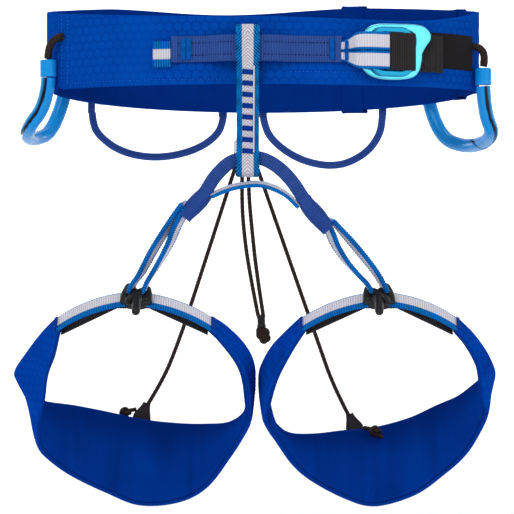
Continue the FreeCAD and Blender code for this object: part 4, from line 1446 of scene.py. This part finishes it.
@dataclass
class Bridge:
    """The bridge under the belay loop: ribbed arch, lower tape, two sleeves and risers to the keepers."""

    front: float = -88.3
    arch_line: list = field(default_factory=lambda: [
        (-37.5, -105), (-34, -99.9), (-31.2, -95), (-27, -89), (-19.5, -81.6), (-12.5, -78.4), (-5, -77),
        (2.5, -77.8), (10, -81), (18, -87.2), (25, -95.5), (31.8, -106.2), (35.4, -112)])
    lower_line: list = field(default_factory=lambda: [
        (-30.6, -102.8), (-28.4, -101.6), (-16.5, -97), (-2.6, -94.8), (7.3, -96), (18.5, -101.2),
        (26.2, -108.3), (28, -110)])
    sleeves: dict = field(default_factory=lambda: {
        Side.LEFT: [(-32.2, -97.8), (-35.4, -102.6), (-40.8, -108.4), (-46, -114), (-48.4, -116.6)],
        Side.RIGHT: [(30.8, -104), (33.8, -109), (39, -115), (45.4, -122.4), (47.8, -125)]})
    risers: dict = field(default_factory=lambda: {
        Side.LEFT: [[(-48.5, 9.8), (-53.1, 2.6), (-58.8, -6.9), (-68.8, -24), (-77.5, -40.9), (-83, -49),
                     (-85, -54)],
                    [(-46.4, 7.4), (-50, -0.4), (-54.2, -9.5), (-58.4, -20.3), (-65.5, -33.7), (-72.2, -45),
                     (-74.2, -49), (-76, -54)]],
        Side.RIGHT: [[(49.5, -2.4), (54.6, -8.6), (62, -17.6), (70.2, -28), (79, -40), (84, -48.6),
                      (86, -53.6)],
                     [(45, -3.4), (48.6, -11.2), (52.4, -21), (59.4, -32.4), (68, -42.6), (73.6, -48.6),
                      (76.6, -53.6)]]})
    tilt: float = 23.5

    def build(self) -> None:
        """Arch, lower tape, sleeves and risers."""
        line = through([(x, self.front, z) for x, z in self.arch_line], FINE_STEP)
        way = np.cross(frames(line, BACK)[0], BACK)
        piece("bridge_arch_webbing", [strip(line, way, 9.2 * MM, 3.4 * MM, Ribs(1.45 * MM, 0.14, 0.012))],
              SLATE, "belt", ("bridge_arch",))
        line = through([(x, self.front - 0.5, z) for x, z in self.lower_line], FINE_STEP)
        lean = BACK * math.cos(0.25) + UP * math.sin(0.25)
        piece("bridge_lower_webbing", [strip(line, lean, 13 * MM, 2.4 * MM, Ribs(1.7 * MM, 0.12, 0.03))],
              TAPE, "belt", ("bridge_lower_tape",))
        for side, points in self.sleeves.items():
            line = through([(x, self.front + 1.2, z) for x, z in points], FINE_STEP)
            way = np.cross(frames(line, BACK)[0], BACK)
            t = np.linspace(0, 1, len(line))
            size = (10.2 + 2.2 * smooth_step(t * 2.2) - 2.0 * smooth_step(t * 2 - 1)) * MM
            deep = (6.4 + 4.4 * smooth_step(t * 1.8)) * MM
            sleeve = strip(line, way, size, deep, Ribs(1.3 * MM, 0.07))
            ends = slice(int(0.08 * len(line)), int(0.94 * len(line)))
            seams = [seam(line[ends] + way[ends] * k * 4.2 * MM - deep[ends, None] / 2 * BACK, -BACK)
                     for k in (-1, 1)]
            piece(f"bridge_sleeve_{side.value}_wrap", [sleeve], SLEEVE, "belt",
                  (f"bridge_sleeve_{side.value}",))
            piece(f"bridge_sleeve_{side.value}_seams", seams, DARK_THREAD, "belt")
        lean = math.radians(self.tilt)
        over = UP * math.cos(lean) - BACK * math.sin(lean)
        back = BACK * math.cos(lean) + UP * math.sin(lean)
        for side, lines in self.risers.items():
            skins = []
            for k, points in enumerate(lines):
                flat = through(points, FINE_STEP)
                line = np.array([0, -84, -116]) * MM + flat[:, :1] * ACROSS + flat[:, 1:] * over
                along = frames(line, back)[0]
                t = np.linspace(0, 1, len(line))[:, None]
                turn = -side.sign * np.radians(20 + 10 * np.sin(3.4 * t + k))
                way = back * np.cos(turn) + np.cross(along, back) * np.sin(turn)
                skins.append(strip(line, way, 12.2 * MM, 3.0 * MM, Ribs(1.8 * MM, 0.14, 0.05)))
            piece(f"riser_{side.value}_tape", skins, RISER_TAPE, "belt", (f"riser_{side.value}",))


# ---------------------------------------------------------------- buckle

@dataclass
class Buckle:
    """Two anodised frames, the looped tape that holds them and the webbing that runs through them."""

    place: tuple = (93.5, -70.6, -5.8)
    turn: float = 20.5
    frame_outline: list = field(default_factory=lambda: [
        (-8, 18.6), (4, 18.8), (14, 18.7), (20, 17.4), (24.2, 13.6), (24.6, 9), (21.5, 4.6), (18.6, -0.5),
        (17.9, -6.4), (16.7, -11.4), (13.3, -15.8), (7.8, -17.8), (-1, -18.7), (-12, -18.4), (-20.5, -16),
        (-25.8, -10.5), (-26.8, 0), (-25.6, 9), (-21.5, 15.5), (-15, 18)])
    frame_opening: list = field(default_factory=lambda: [
        (-8, 14.8), (2, 15.0), (8, 14.2), (11.4, 12.4), (13, 9), (12.8, 4.5), (12, 1), (11.4, -2), (11, -6),
        (10.6, -9.4), (9.6, -12.6), (6.6, -14.2), (-1, -14.8), (-11, -14.4), (-18, -12), (-21.6, -8),
        (-22.4, 0), (-21.6, 7), (-18.5, 12), (-13, 14.4)])

    def lay(self, points: Array) -> Array:
        """Points of the buckle's own frame, in metres, laid on the belt.

        Args:
            points: Places in the buckle's own frame.

        Returns:
            The same places in the harness's frame.
        """
        cosine, sine = math.cos(math.radians(self.turn)), math.sin(math.radians(self.turn))
        matrix = np.array([[cosine, -sine, 0], [sine, cosine, 0], [0, 0, 1]])
        return points @ matrix.T + np.array(self.place) * MM

    def tape(self, points: list, thickness: float, width: float, level: float = 0.0,
             ribs: Ribs = Ribs(), narrow: float = 0.0) -> Skin:
        """A strip of tape through points of the buckle's own plan, narrower at its start by a share.

        Args:
            points: Its line in plan, in millimetres.
            thickness: Its thickness, in millimetres.
            width: Its width, in millimetres.
            level: The height of its middle.
            ribs: Its ribs.
            narrow: How much narrower its start is, as a share.

        Returns:
            The skin.
        """
        line = self.lay(through([(x, y, 0) for x, y in points], FINE_STEP))
        grown = 1 - narrow * (1 - smooth_step(np.linspace(0, 2.1, len(line))))
        line[:, 2] += level * grown * MM
        return strip(line, UP, width * grown * MM, thickness * MM, ribs)

    def build(self) -> None:
        """Both frames, then the tapes."""
        count = 140
        rims = []
        for points in (self.frame_outline, self.frame_opening):
            ring = through(points, 0.3 * MM, ring=True)
            closed = np.vstack([ring, ring[:1]])
            rims.append(evenly(closed, length_of(closed) / count)[:count])
        plate = ring_plate(rims[0], rims[1], 3.0 * MM, 1.1 * MM)
        plate.points = self.lay(plate.points)
        piece("buckle_outer_frame", [plate], LIGHT_METAL, "belt", ("buckle_frame",))
        middle = np.array([-4.5, -2.9, -0.2]) * MM
        inner = ring_plate(rounded(15.5 * MM, 16.7 * MM, 9 * MM, count),
                           rounded(11.4 * MM, 12.6 * MM, 5.4 * MM, count), 2.2 * MM, 0.9 * MM)
        inner.points = self.lay(inner.points + middle)
        piece("buckle_inner_frame", [inner], DARK_METAL, "buckle_slider", ("buckle_slider",))
        loop = [(-38, 6.6), (-34.6, 4.6), (-31.6, 1.6), (-29.2, -2.8), (-22.5, -6), (-14, -6.1), (-8, -6)]
        skins = [self.tape(loop, 2.4, 12.2, level, narrow=0.48) for level in (6.4, -6.2)]
        piece("buckle_loop_tape", skins, TAPE, "belt", ("buckle_tape",))
        tack = self.lay(np.array([[-35.2, 2.6, 6.6], [-35.2, 2.6, -6.6]]) * MM)
        way = self.lay(np.array([[-34.6, 2.1, 0]]) * MM)[0] - self.lay(np.array([[-35.6, 3.0, 0]]) * MM)[0]
        tack = strip(evenly(tack, 0.25 * MM), way, 2.6 * MM, 1.2 * MM, Ribs(0.9 * MM, 0.3, 0.06))
        piece("buckle_tape_tack", [tack], BRIGHT_TACK, "belt")
        strap = [(-7.4, -3.4), (-5.6, -5), (0, -5.3), (8, -5.2), (10.9, -4), (12.6, 0), (14.6, 3.1),
                 (19, 3.6), (27, 4.6), (33, 6.4), (37.5, 8.6)]
        skin = self.tape(strap, 1.8, 25.0, ribs=Ribs(1.3 * MM, 0.3, 0.01))
        piece("buckle_strap", [skin], BLACK_TAPE, "belt", ("buckle_webbing",))


# ---------------------------------------------------------------- gear loops

@dataclass
class GearLoops:
    """Moulded loops on cords at the front, soft sleeved loops behind."""

    moulded: dict = field(default_factory=lambda: {
        Side.LEFT: [(-143.4, -30, -20), (-144.5, -29.5, -38), (-160, -22, -56), (-159, 8, -61.5),
                    (-144, 34, -53), (-137.2, 36.5, -24)],
        Side.RIGHT: [(156.3, -22, -25), (157, -21, -43), (165.5, -10, -59.5), (151, 28, -66),
                     (129, 53.5, -55), (123.5, 57, -24)]})
    tops: dict = field(default_factory=lambda: {
        Side.LEFT: (-143.4, -30, -7.6), Side.RIGHT: (156.3, -22, -12.6)})
    cords: dict = field(default_factory=lambda: {
        Side.LEFT: [(-133.4, -33.6, 8), (-137.4, -37.1, 7.2), (-143, -34.6, 0.5), (-143.4, -31, -6.2)],
        Side.RIGHT: [(149.7, -20.2, 2.5), (154.2, -22.6, 1.6), (157.4, -23.4, -4.5), (156.3, -22, -11.4)]})
    soft: dict = field(default_factory=lambda: {
        Side.LEFT: [(-119.1, 52.5, -38.6), (-119, 52.6, -43), (-116, 54, -54), (-99, 59.5, -67),
                    (-73, 66, -71.4), (-46, 73.5, -65.5), (-29, 78, -54), (-24.6, 81, -41.8),
                    (-24.6, 81.2, -36)],
        Side.RIGHT: [(4.4, 82.4, -36), (4.4, 82.4, -42), (10, 80.5, -57), (31.5, 76.5, -72.5),
                     (58.6, 71, -77.6), (79.5, 67.4, -68), (89.6, 66, -54), (91.4, 66.4, -42),
                     (91.6, 66.4, -36)]})

    def build(self) -> None:
        """Each side's moulded loop with its sleeve and cord, and its soft loop."""
        for side in Side:
            name = side.value
            line = route(self.moulded[side])
            count, sides = len(line), 40
            along = np.linspace(0, 1, count)[:, None]
            turn = np.linspace(0, 2 * math.pi, sides, endpoint=False)[None]
            _, across, out = frames(line, ACROSS)
            spoke = np.cos(turn)[..., None] * across[:, None] + np.sin(turn)[..., None] * out[:, None]
            outwards = unit(np.array([0.35 * side.sign, -1.0, 0.15]))
            toward = (spoke * outwards).sum(-1)
            # The slot is a groove painted dark through the relief number: painted shade.
            slot = smooth_step((toward / toward.max(1, keepdims=True) - 0.955) / 0.02)
            slot = slot * smooth_step((0.5 - along) / 0.05)
            # A pale patch on the downward faces of the lower bend, carried by the wear number: a painted
            # highlight (glare).
            low = smooth_step((-line[:, 2:] / MM - 50) / 8) * smooth_step(-spoke[..., 2] * 2.4 - 0.9)
            pale = low * smooth_step((along - 0.2) / 0.1) * smooth_step((0.62 - along) / 0.12)
            skin = tube(line, (5.0 - 1.2 * slot) * MM, ACROSS, sides, relief=1 - slot, wear_and_glare=pale * 0.4)
            piece(f"front_gear_{name}_tube", [skin], GEAR_PLASTIC, f"front_gear_{name}",
                  (f"front_gear_loop_{name}",))
            x, y, z = self.tops[side]
            height = np.linspace(z, z - 11.7, 30)
            near = 1 - np.minimum(z - height, 1.1) / 1.1
            radius = 4.6 + 1.1 * np.sqrt(np.clip(1 - near**2, 0, 1))
            line = np.stack([np.full(30, x), np.full(30, y), height], -1) * MM
            piece(f"front_gear_{name}_cap", [tube(line, radius * MM, ACROSS, 36)], GEAR_PLASTIC,
                  f"front_gear_{name}", (f"front_gear_sleeve_{name}",))
            line = route(self.cords[side])
            skin = braided(line, 2.6 * MM, UP + 0.3 * ACROSS, 24, 4.4 * MM)
            cord = piece(f"front_gear_{name}_cord", [skin], CORD, None, (f"front_gear_cord_{name}",))
            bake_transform(cord)
            line = route(self.soft[side])
            _, across, _ = frames(line, BACK)
            run = np.linspace(0, 1, len(line))[:, None] * length_of(line)
            turn = np.linspace(0, 2 * math.pi, 24, endpoint=False)[None]
            flat = 1 - 0.22 * np.cos(turn) ** 2
            ribs = 1 + 0.02 * np.cos(run * 2 * math.pi / (1.6 * MM))
            skin = tube(line, 2.7 * MM * flat * ribs, BACK, 24)
            row = line - across * 2.15 * MM
            seams = seam(row, -across, 2.0 * MM, length=1.2 * MM, width=0.5 * MM)
            body = f"rear_gear_{name}"
            piece(body + "_sleeve", [skin], SLEEVE, body, (f"rear_gear_loop_{name}",))
            piece(body + "_seam", [seams], DARK_THREAD, body)


# ---------------------------------------------------------------- leg loops

@dataclass
class LegLoop:
    """One padded leg loop with the tape and strap across its front, its keeper and its rear tab.

    The band is a twisted ribbon: each station holds a place of its upper edge and one of its lower edge, in
    millimetres of the loop's own frame, going round from the left tape end by the back to the right one.
    """

    side: Side
    tilt: float = 46.0
    half_width: float = 80.2
    half_depth: float = 80.4
    power: float = 1.75
    end: float = 47.0
    ply: float = 2.4
    stations: dict = field(default_factory=lambda: {
        Side.LEFT: [
            (-51.8, -56.4, 6.5, -51.6, -56.6, -7), (-62.5, -43, 6, -54.6, -46, -19),
            (-73.6, -26, 5, -60, -29, -22), (-84.4, -7, 2.5, -63, -9, -26), (-79.6, 9, 6, -67.2, 8, -33),
            (-75.5, 24, 9, -66.4, 25, -39.5), (-68, 38, 15, -57, 43, -38.5),
            (-49, 59, 30, -44, 61, -35.5), (-25, 74, 37, -24, 74.5, -37), (0, 80.4, 35.5, 0, 80.4, -44),
            (27, 74, 26, 27, 74, -47), (47, 60, 13, 47, 61, -44.5), (64, 42, -1, 64, 42, -32),
            (76.4, 25, -4.5, 73.5, 24, -27), (79.8, 10, 2, 77.6, 10, -25), (80.2, -1, 7, 77, -2, -24),
            (78.5, -13, 10, 76, -14, -19), (71.9, -30, 9, 71, -30, -13.8), (61, -46, 8.5, 60, -46, -8.5),
            (51.8, -56.4, 7, 51.6, -56.6, -6.5)],
        Side.RIGHT: [
            (-51.8, -56.4, 7, -51.6, -56.6, -6.5), (-62.5, -43, 6, -60.5, -44, -14),
            (-71.5, -30, 5, -70.6, -28, -25), (-77.5, -13, 7, -75.3, -12, -31),
            (-80.2, 0, 7, -77, 1, -33), (-79, 13, -1, -74, 14, -33), (-74.6, 26, -11, -67.6, 27, -33),
            (-62, 46, -7, -57, 50, -33), (-44, 64, 7, -44, 63, -36.5), (-20, 76, 21, -21, 76, -41.5),
            (0, 80.2, 27, 0, 80.3, -45), (27, 74, 31, 27, 73.5, -41), (47, 60, 31, 47, 60, -34),
            (62, 45, 27, 62, 44, -29), (73.5, 26, 23, 72, 26, -22), (79, 11, 18, 75.6, 11, -19.5),
            (81.4, -1, 7, 72.4, -1, -22), (79.4, -12, 4, 70.4, -15, -18),
            (73.5, -26, 4, 67.4, -31, -14.5), (63.5, -42, 5.5, 60, -45, -10),
            (51.8, -56.4, 6.2, 51.6, -56.6, -7.5)]})

    @property
    def name(self) -> str:
        """The body that the loop's pieces ride on."""
        return f"leg_loop_{self.side.value}"

    def put(self, u: Array, v: Array, w: Array) -> Array:
        """Places of the loop's own frame, in millimetres, in the harness's frame, in metres."""
        spots = np.stack(np.broadcast_arrays(u, v, w), -1) @ self.turned().T
        return (spots + np.array([self.side.sign * 83.4, -4.5, -229.6])) * MM

    def turned(self) -> Array:
        """The turn from the loop's own frame to the harness's."""
        cosine, sine = math.cos(math.radians(self.tilt)), math.sin(math.radians(self.tilt))
        return np.array([[1, 0, 0], [0, cosine, sine], [0, -sine, cosine]])

    def upright(self) -> Array:
        """The loop's own upright direction, in the harness's frame."""
        return self.turned() @ UP

    def spot(self, turn: float, grow: float) -> Array:
        """One place of the plan, as an array of two numbers in millimetres."""
        return np.array(self.plan(np.array([turn]), grow)).T[0]

    def plan(self, turn: Array, grow: float = 0.0) -> tuple[Array, Array]:
        """The loop's plan at turns in degrees, a power-law oval grown outwards, in millimetres.

        Args:
            turn: Turns in degrees.
            grow: How far outwards.

        Returns:
            The two distances from the loop's middle.
        """
        cosine, sine = np.cos(np.radians(turn)), np.sin(np.radians(turn))
        power = 2 / self.power
        return ((self.half_width + grow) * np.sign(cosine) * np.abs(cosine) ** power,
                (self.half_depth + grow) * np.sign(sine) * np.abs(sine) ** power)

    def places(self, start: float, stop: float, step: float) -> tuple[Array, Array]:
        """Turns from start to stop, evenly spaced along the plan, and the distance along at each.

        Args:
            start: The first turn, in degrees.
            stop: The last turn.
            step: The distance between places, in millimetres.

        Returns:
            The turns, and the distance along the plan at each.
        """
        dense = np.linspace(start, stop, 3000)
        line = np.stack(self.plan(dense), -1)
        run = run_along(line)
        where = np.linspace(0, run[-1], int(run[-1] / step) + 1)
        return np.interp(where, run, dense), where

    def ribbon(self) -> tuple[Array, Array, Array, Array]:
        """The band's middle line, half its width at each place, and the directions up it and out of it.

        Returns:
            The four arrays, one row for each place.
        """
        edges = through(self.stations[self.side], 1.2 * MM) / MM
        upper, lower = (self.put(*edges[:, k:k + 3].T) for k in (0, 3))
        middle, reach = (upper + lower) / 2, (upper - lower) / 2
        out = unit(np.cross(reach, np.gradient(middle, axis=0)))
        outwards = middle - middle.mean(0)
        out *= np.sign((out * outwards).sum())
        return middle, np.linalg.norm(reach, axis=1)[:, None], unit(reach), out

    def band(self, inner: float, outer: float, inset: float, seed: float, puff: float) -> Skin:
        """A padded ply of the band: a flat section with round edges that follows the ribbon.

        Args:
            inner: Its inner distance from the ribbon, in millimetres.
            outer: Its outer distance.
            inset: How far its edges stay inside the ribbon's.
            seed: Which folds it has.
            puff: How far its free face swells between the edges.

        Returns:
            The skin.
        """
        line, reach, up, out = self.ribbon()
        half = (outer - inner) / 2 * MM
        middle, over, rise = outline(56, 5)
        height = (reach - inset * MM - half) * middle + half * over
        run = run_along(line)
        sign = 1 if inner >= 0 else -1
        free = rise * sign > 0.99
        swell = (1 - np.abs(middle) ** 5) * np.minimum(reach / (16 * MM), 1)
        ends = smooth_step(np.minimum(run, run[-1] - run) / (14 * MM))[:, None]
        along = run[:, None]
        folds = ripple(along * 0.9, height * 0.8, seed) + 0.5 * ripple(along * 2.6, height, seed + 2)
        lift = np.where(free, sign * swell * ends * (puff + 0.7 * folds) * MM, 0)
        depth = (inner + outer) / 2 * MM + half * rise + lift
        if self.side is Side.RIGHT and sign < 0:
            for place in (75.0, 79.5, 84.0):
                off = line[:, :1] / MM - place - 6 * (middle + 1)
                pleat = np.exp(-(off / 0.9) ** 2) * (line[:, 1:2] > 0)
                depth += 0.9 * MM * pleat * smooth_step((-middle - 0.45) * 3) * free
        # The relief number darkens the colour in the hollows of the folds and, on the shell, in the
        # honeycomb's grooves: painted shade.
        relief = np.clip(0.86 + 0.35 * folds, 0, 1)
        if sign > 0:
            net = honeycomb(np.broadcast_to(along, height.shape), height, 6.2 * MM, 0.8 * MM)
            depth -= np.where(free, (1 - net) * 0.3 * MM * smooth_step((1 - np.abs(middle)) * 8), 0)
            relief = relief * (0.55 + 0.45 * net)
        else:
            # The lining darkens towards its upper edge: painted shade.
            relief = relief * (1 - 0.75 * smooth_step((middle + 0.1) / 1.1))
        points = line[:, None] + height[..., None] * up[:, None] + depth[..., None] * out[:, None]
        column = np.append(height.mean(0), height[:, 0].mean())
        return grid_skin(points, run, column, side=np.broadcast_to(middle, height.shape), relief=relief)

    def edge_line(self, sign: int, inset: float, lift: float) -> tuple[Array, Array]:
        """A line along the upper (1) or lower (-1) edge of the band, and the direction out at each place."""
        line, reach, up, out = self.ribbon()
        return line + sign * (reach - inset * MM) * up + lift * MM * out, out

    def build(self) -> None:
        """Band, binding, seams, tape, strap, bartacks, keeper, tab and knot."""
        side = self.side.value
        shell = self.band(0.05, self.ply, 0.0, 1.0 + self.side.sign, 0.9)
        outside = piece(f"leg_band_{side}_outside", [shell], LEG_CLOTH, self.name, (f"leg_shell_{side}",))
        liner = self.band(-self.ply, -0.05, 1.2, 3.0 + self.side.sign, 0.9)
        inside = piece(f"leg_band_{side}_inside", [liner], LEG_LINING, self.name, (f"leg_liner_{side}",))
        edges = [tube(self.edge_line(sign, 0.4, 0.0)[0], 1.1 * MM, self.upright(), 12) for sign in (1, -1)]
        piece(f"leg_binding_{side}", edges, LEG_LINING, self.name)
        seams = []
        for sign in (1, -1):
            row, out = self.edge_line(sign, 4.6, self.ply + 0.25)
            seams.append(seam(row[6:-6], out[6:-6], 2.8 * MM))
        piece(f"leg_seams_{side}", seams, DARK_THREAD, self.name)
        self.front(side)
        self.keeper(side)
        self.rear(side)

    def front(self, side: str) -> None:
        """The tape over the front, the strap under it and the bartacks at its ends.

        Args:
            side: The side's name, for the names of pieces.
        """
        turn, _ = self.places(178 + self.end, 362 - self.end, 0.4)
        line = self.put(*self.plan(turn, 0.6), 0.0)
        way = self.upright()
        tape = strip(line, way, 13 * MM, 2.2 * MM, Ribs(1.7 * MM, 0.14, 0.03), lean=0.2)
        piece(f"leg_front_tape_{side}", [tape], LEG_TAPE, self.name, (f"leg_tape_{side}",))
        left, right = self.spot(179 + self.end, -4.6), self.spot(361 - self.end, -4.6)
        peak = self.spot(270.0, -2.7)[1]
        flat = evenly(np.array([left, (-11, peak), (11, peak), right]), 0.4)
        strap = strip(self.put(flat[:, 0], flat[:, 1], 0.0), way, 11 * MM, 1.4 * MM, Ribs(1.5 * MM, 0.1))
        piece(f"leg_under_strap_{side}", [strap], BLACK_TAPE, self.name, (f"leg_strap_{side}",))
        tacks = []
        for turn in (180 + self.end, 360 - self.end):
            u, v = self.spot(turn, self.ply + 0.5)
            ahead = self.spot(turn + 0.5, 0.0) - self.spot(turn - 0.5, 0.0)
            along = self.turned() @ np.append(unit(ahead), 0)
            ends = self.put(u, v, np.array([-5.0, 5.0]))
            tacks.append(strip(evenly(ends, 0.25 * MM), along, 3 * MM, 0.9 * MM, Ribs(0.9 * MM, 0.3, 0.06)))
        piece(f"leg_tape_tacks_{side}", tacks, TACK, self.name, (f"leg_bartacks_{side}",))

    def keeper(self, side: str) -> None:
        """The moulded keeper: a body on the tape, two horns round the riser's strands, and a nose below.

        Args:
            side: The side's name, for the names of pieces.
        """
        turn, shift = self.turned(), 2.2 if self.side is Side.LEFT else 1.4

        def centre(u: float, v: float, w: float) -> Array:
            """A place by the keeper, u away from the harness's middle, in millimetres of its frame."""
            return self.put(-self.side.sign * (u + shift), v - self.half_depth, w) / MM

        def arm(points: list, start: float, stop: float) -> Skin:
            """A tapering round arm through places by the keeper.

            Args:
                points: Places by the keeper.
                start: Its radius at its start, in millimetres.
                stop: Its radius at its end.

            Returns:
                The skin.
            """
            line = through([centre(*place) for place in points], 0.4 * MM)
            t = np.linspace(0, 1, len(line))
            cap = np.sqrt(np.clip(1 - ((t - 0.5) * 2) ** 10, 0.02, 1))
            return tube(line, (start + (stop - start) * t) * cap * MM, self.upright() + 0.3 * ACROSS, 24)

        skins = [blob(centre(0, -1.5, -1.5), (8.8, 6.0, 6.0), (3.2, 2.6), turn=turn, lumps=0.02),
                 blob(centre(0.5, -6, -5), (4.2, 3.6, 8), (2.6, 2.4), turn=turn, lumps=0.03),
                 arm([(-7, -2, -6), (-7, -4, 0), (-4.4, -4.4, 10)], 4.1, 2.8),
                 arm([(7, -2, -6), (7.6, -4, -0.4), (7, -4.4, 7.6)], 4.1, 2.6),
                 arm([(-2.6, -6, 3.4), (-0.2, -7.6, -2), (0.6, -7.8, -12), (0.4, -6.4, -20.4)], 2.9, 3.0),
                 arm([(5, -4.6, 4.4), (2.4, -8.2, -1), (-3, -8, -6), (-6, -4.6, -9)], 2.3, 2.5)]
        piece(f"leg_keeper_{side}_moulding", skins, RUBBER, self.name, (f"leg_keeper_{side}",))

    def rear(self, side: str) -> None:
        """The folded tab that the elastic is tied to, and the elastic's knot.

        Args:
            side: The side's name, for the names of pieces.
        """
        low, high = corners(f"elastic_tab_{side}")
        middle, tip = (low + high) / 2, self.side.sign * 5.2 * MM
        line = evenly(np.array([[middle[0] - tip, middle[1], high[2] + 2.2 * MM],
                                [middle[0] - 0.3 * tip, middle[1], middle[2]],
                                [middle[0], middle[1], low[2]]]), FINE_STEP)
        width = (high[0] - low[0]) * (0.42 + 0.55 * smooth_step(np.linspace(0, 1.5, len(line))))
        tab = strip(line, ACROSS, width, 2.0 * MM, Ribs(1.5 * MM, 0.2))
        piece(f"elastic_tab_{side}_webbing", [tab], BLACK_TAPE, self.name, (f"elastic_tab_{side}",))
        low, high = corners(f"elastic_knot_{side}")
        centre = (low + high) / 2 / MM
        mirror = np.array([self.side.sign, 1, 1])
        ends = [tube(evenly((centre + mirror * np.array(points)) * MM, CORD_STEP), 1.5 * MM, BACK, 12)
                for points in ([(-2, 0, 1.5), (-8, 2, 2.5)], [(1, -1, -1), (5.4, -1.5, -4.4)])]
        skins = [knot(centre, 5.0, 1.6, self.turned()), blob(centre, (3, 2.6, 3)), *ends]
        piece(f"elastic_knot_{side}_cord", skins, CORD, self.name, (f"elastic_knot_{side}",))


def main() -> None:
    """Build the studio and every sub-assembly."""
    Studio().build()
    RearCords().build()
    Belt().build()
    TieIn().build()
    Bridge().build()
    Buckle().build()
    GearLoops().build()
    for side in Side:
        LegLoop(side).build()


if __name__ == "__main__":
    main()
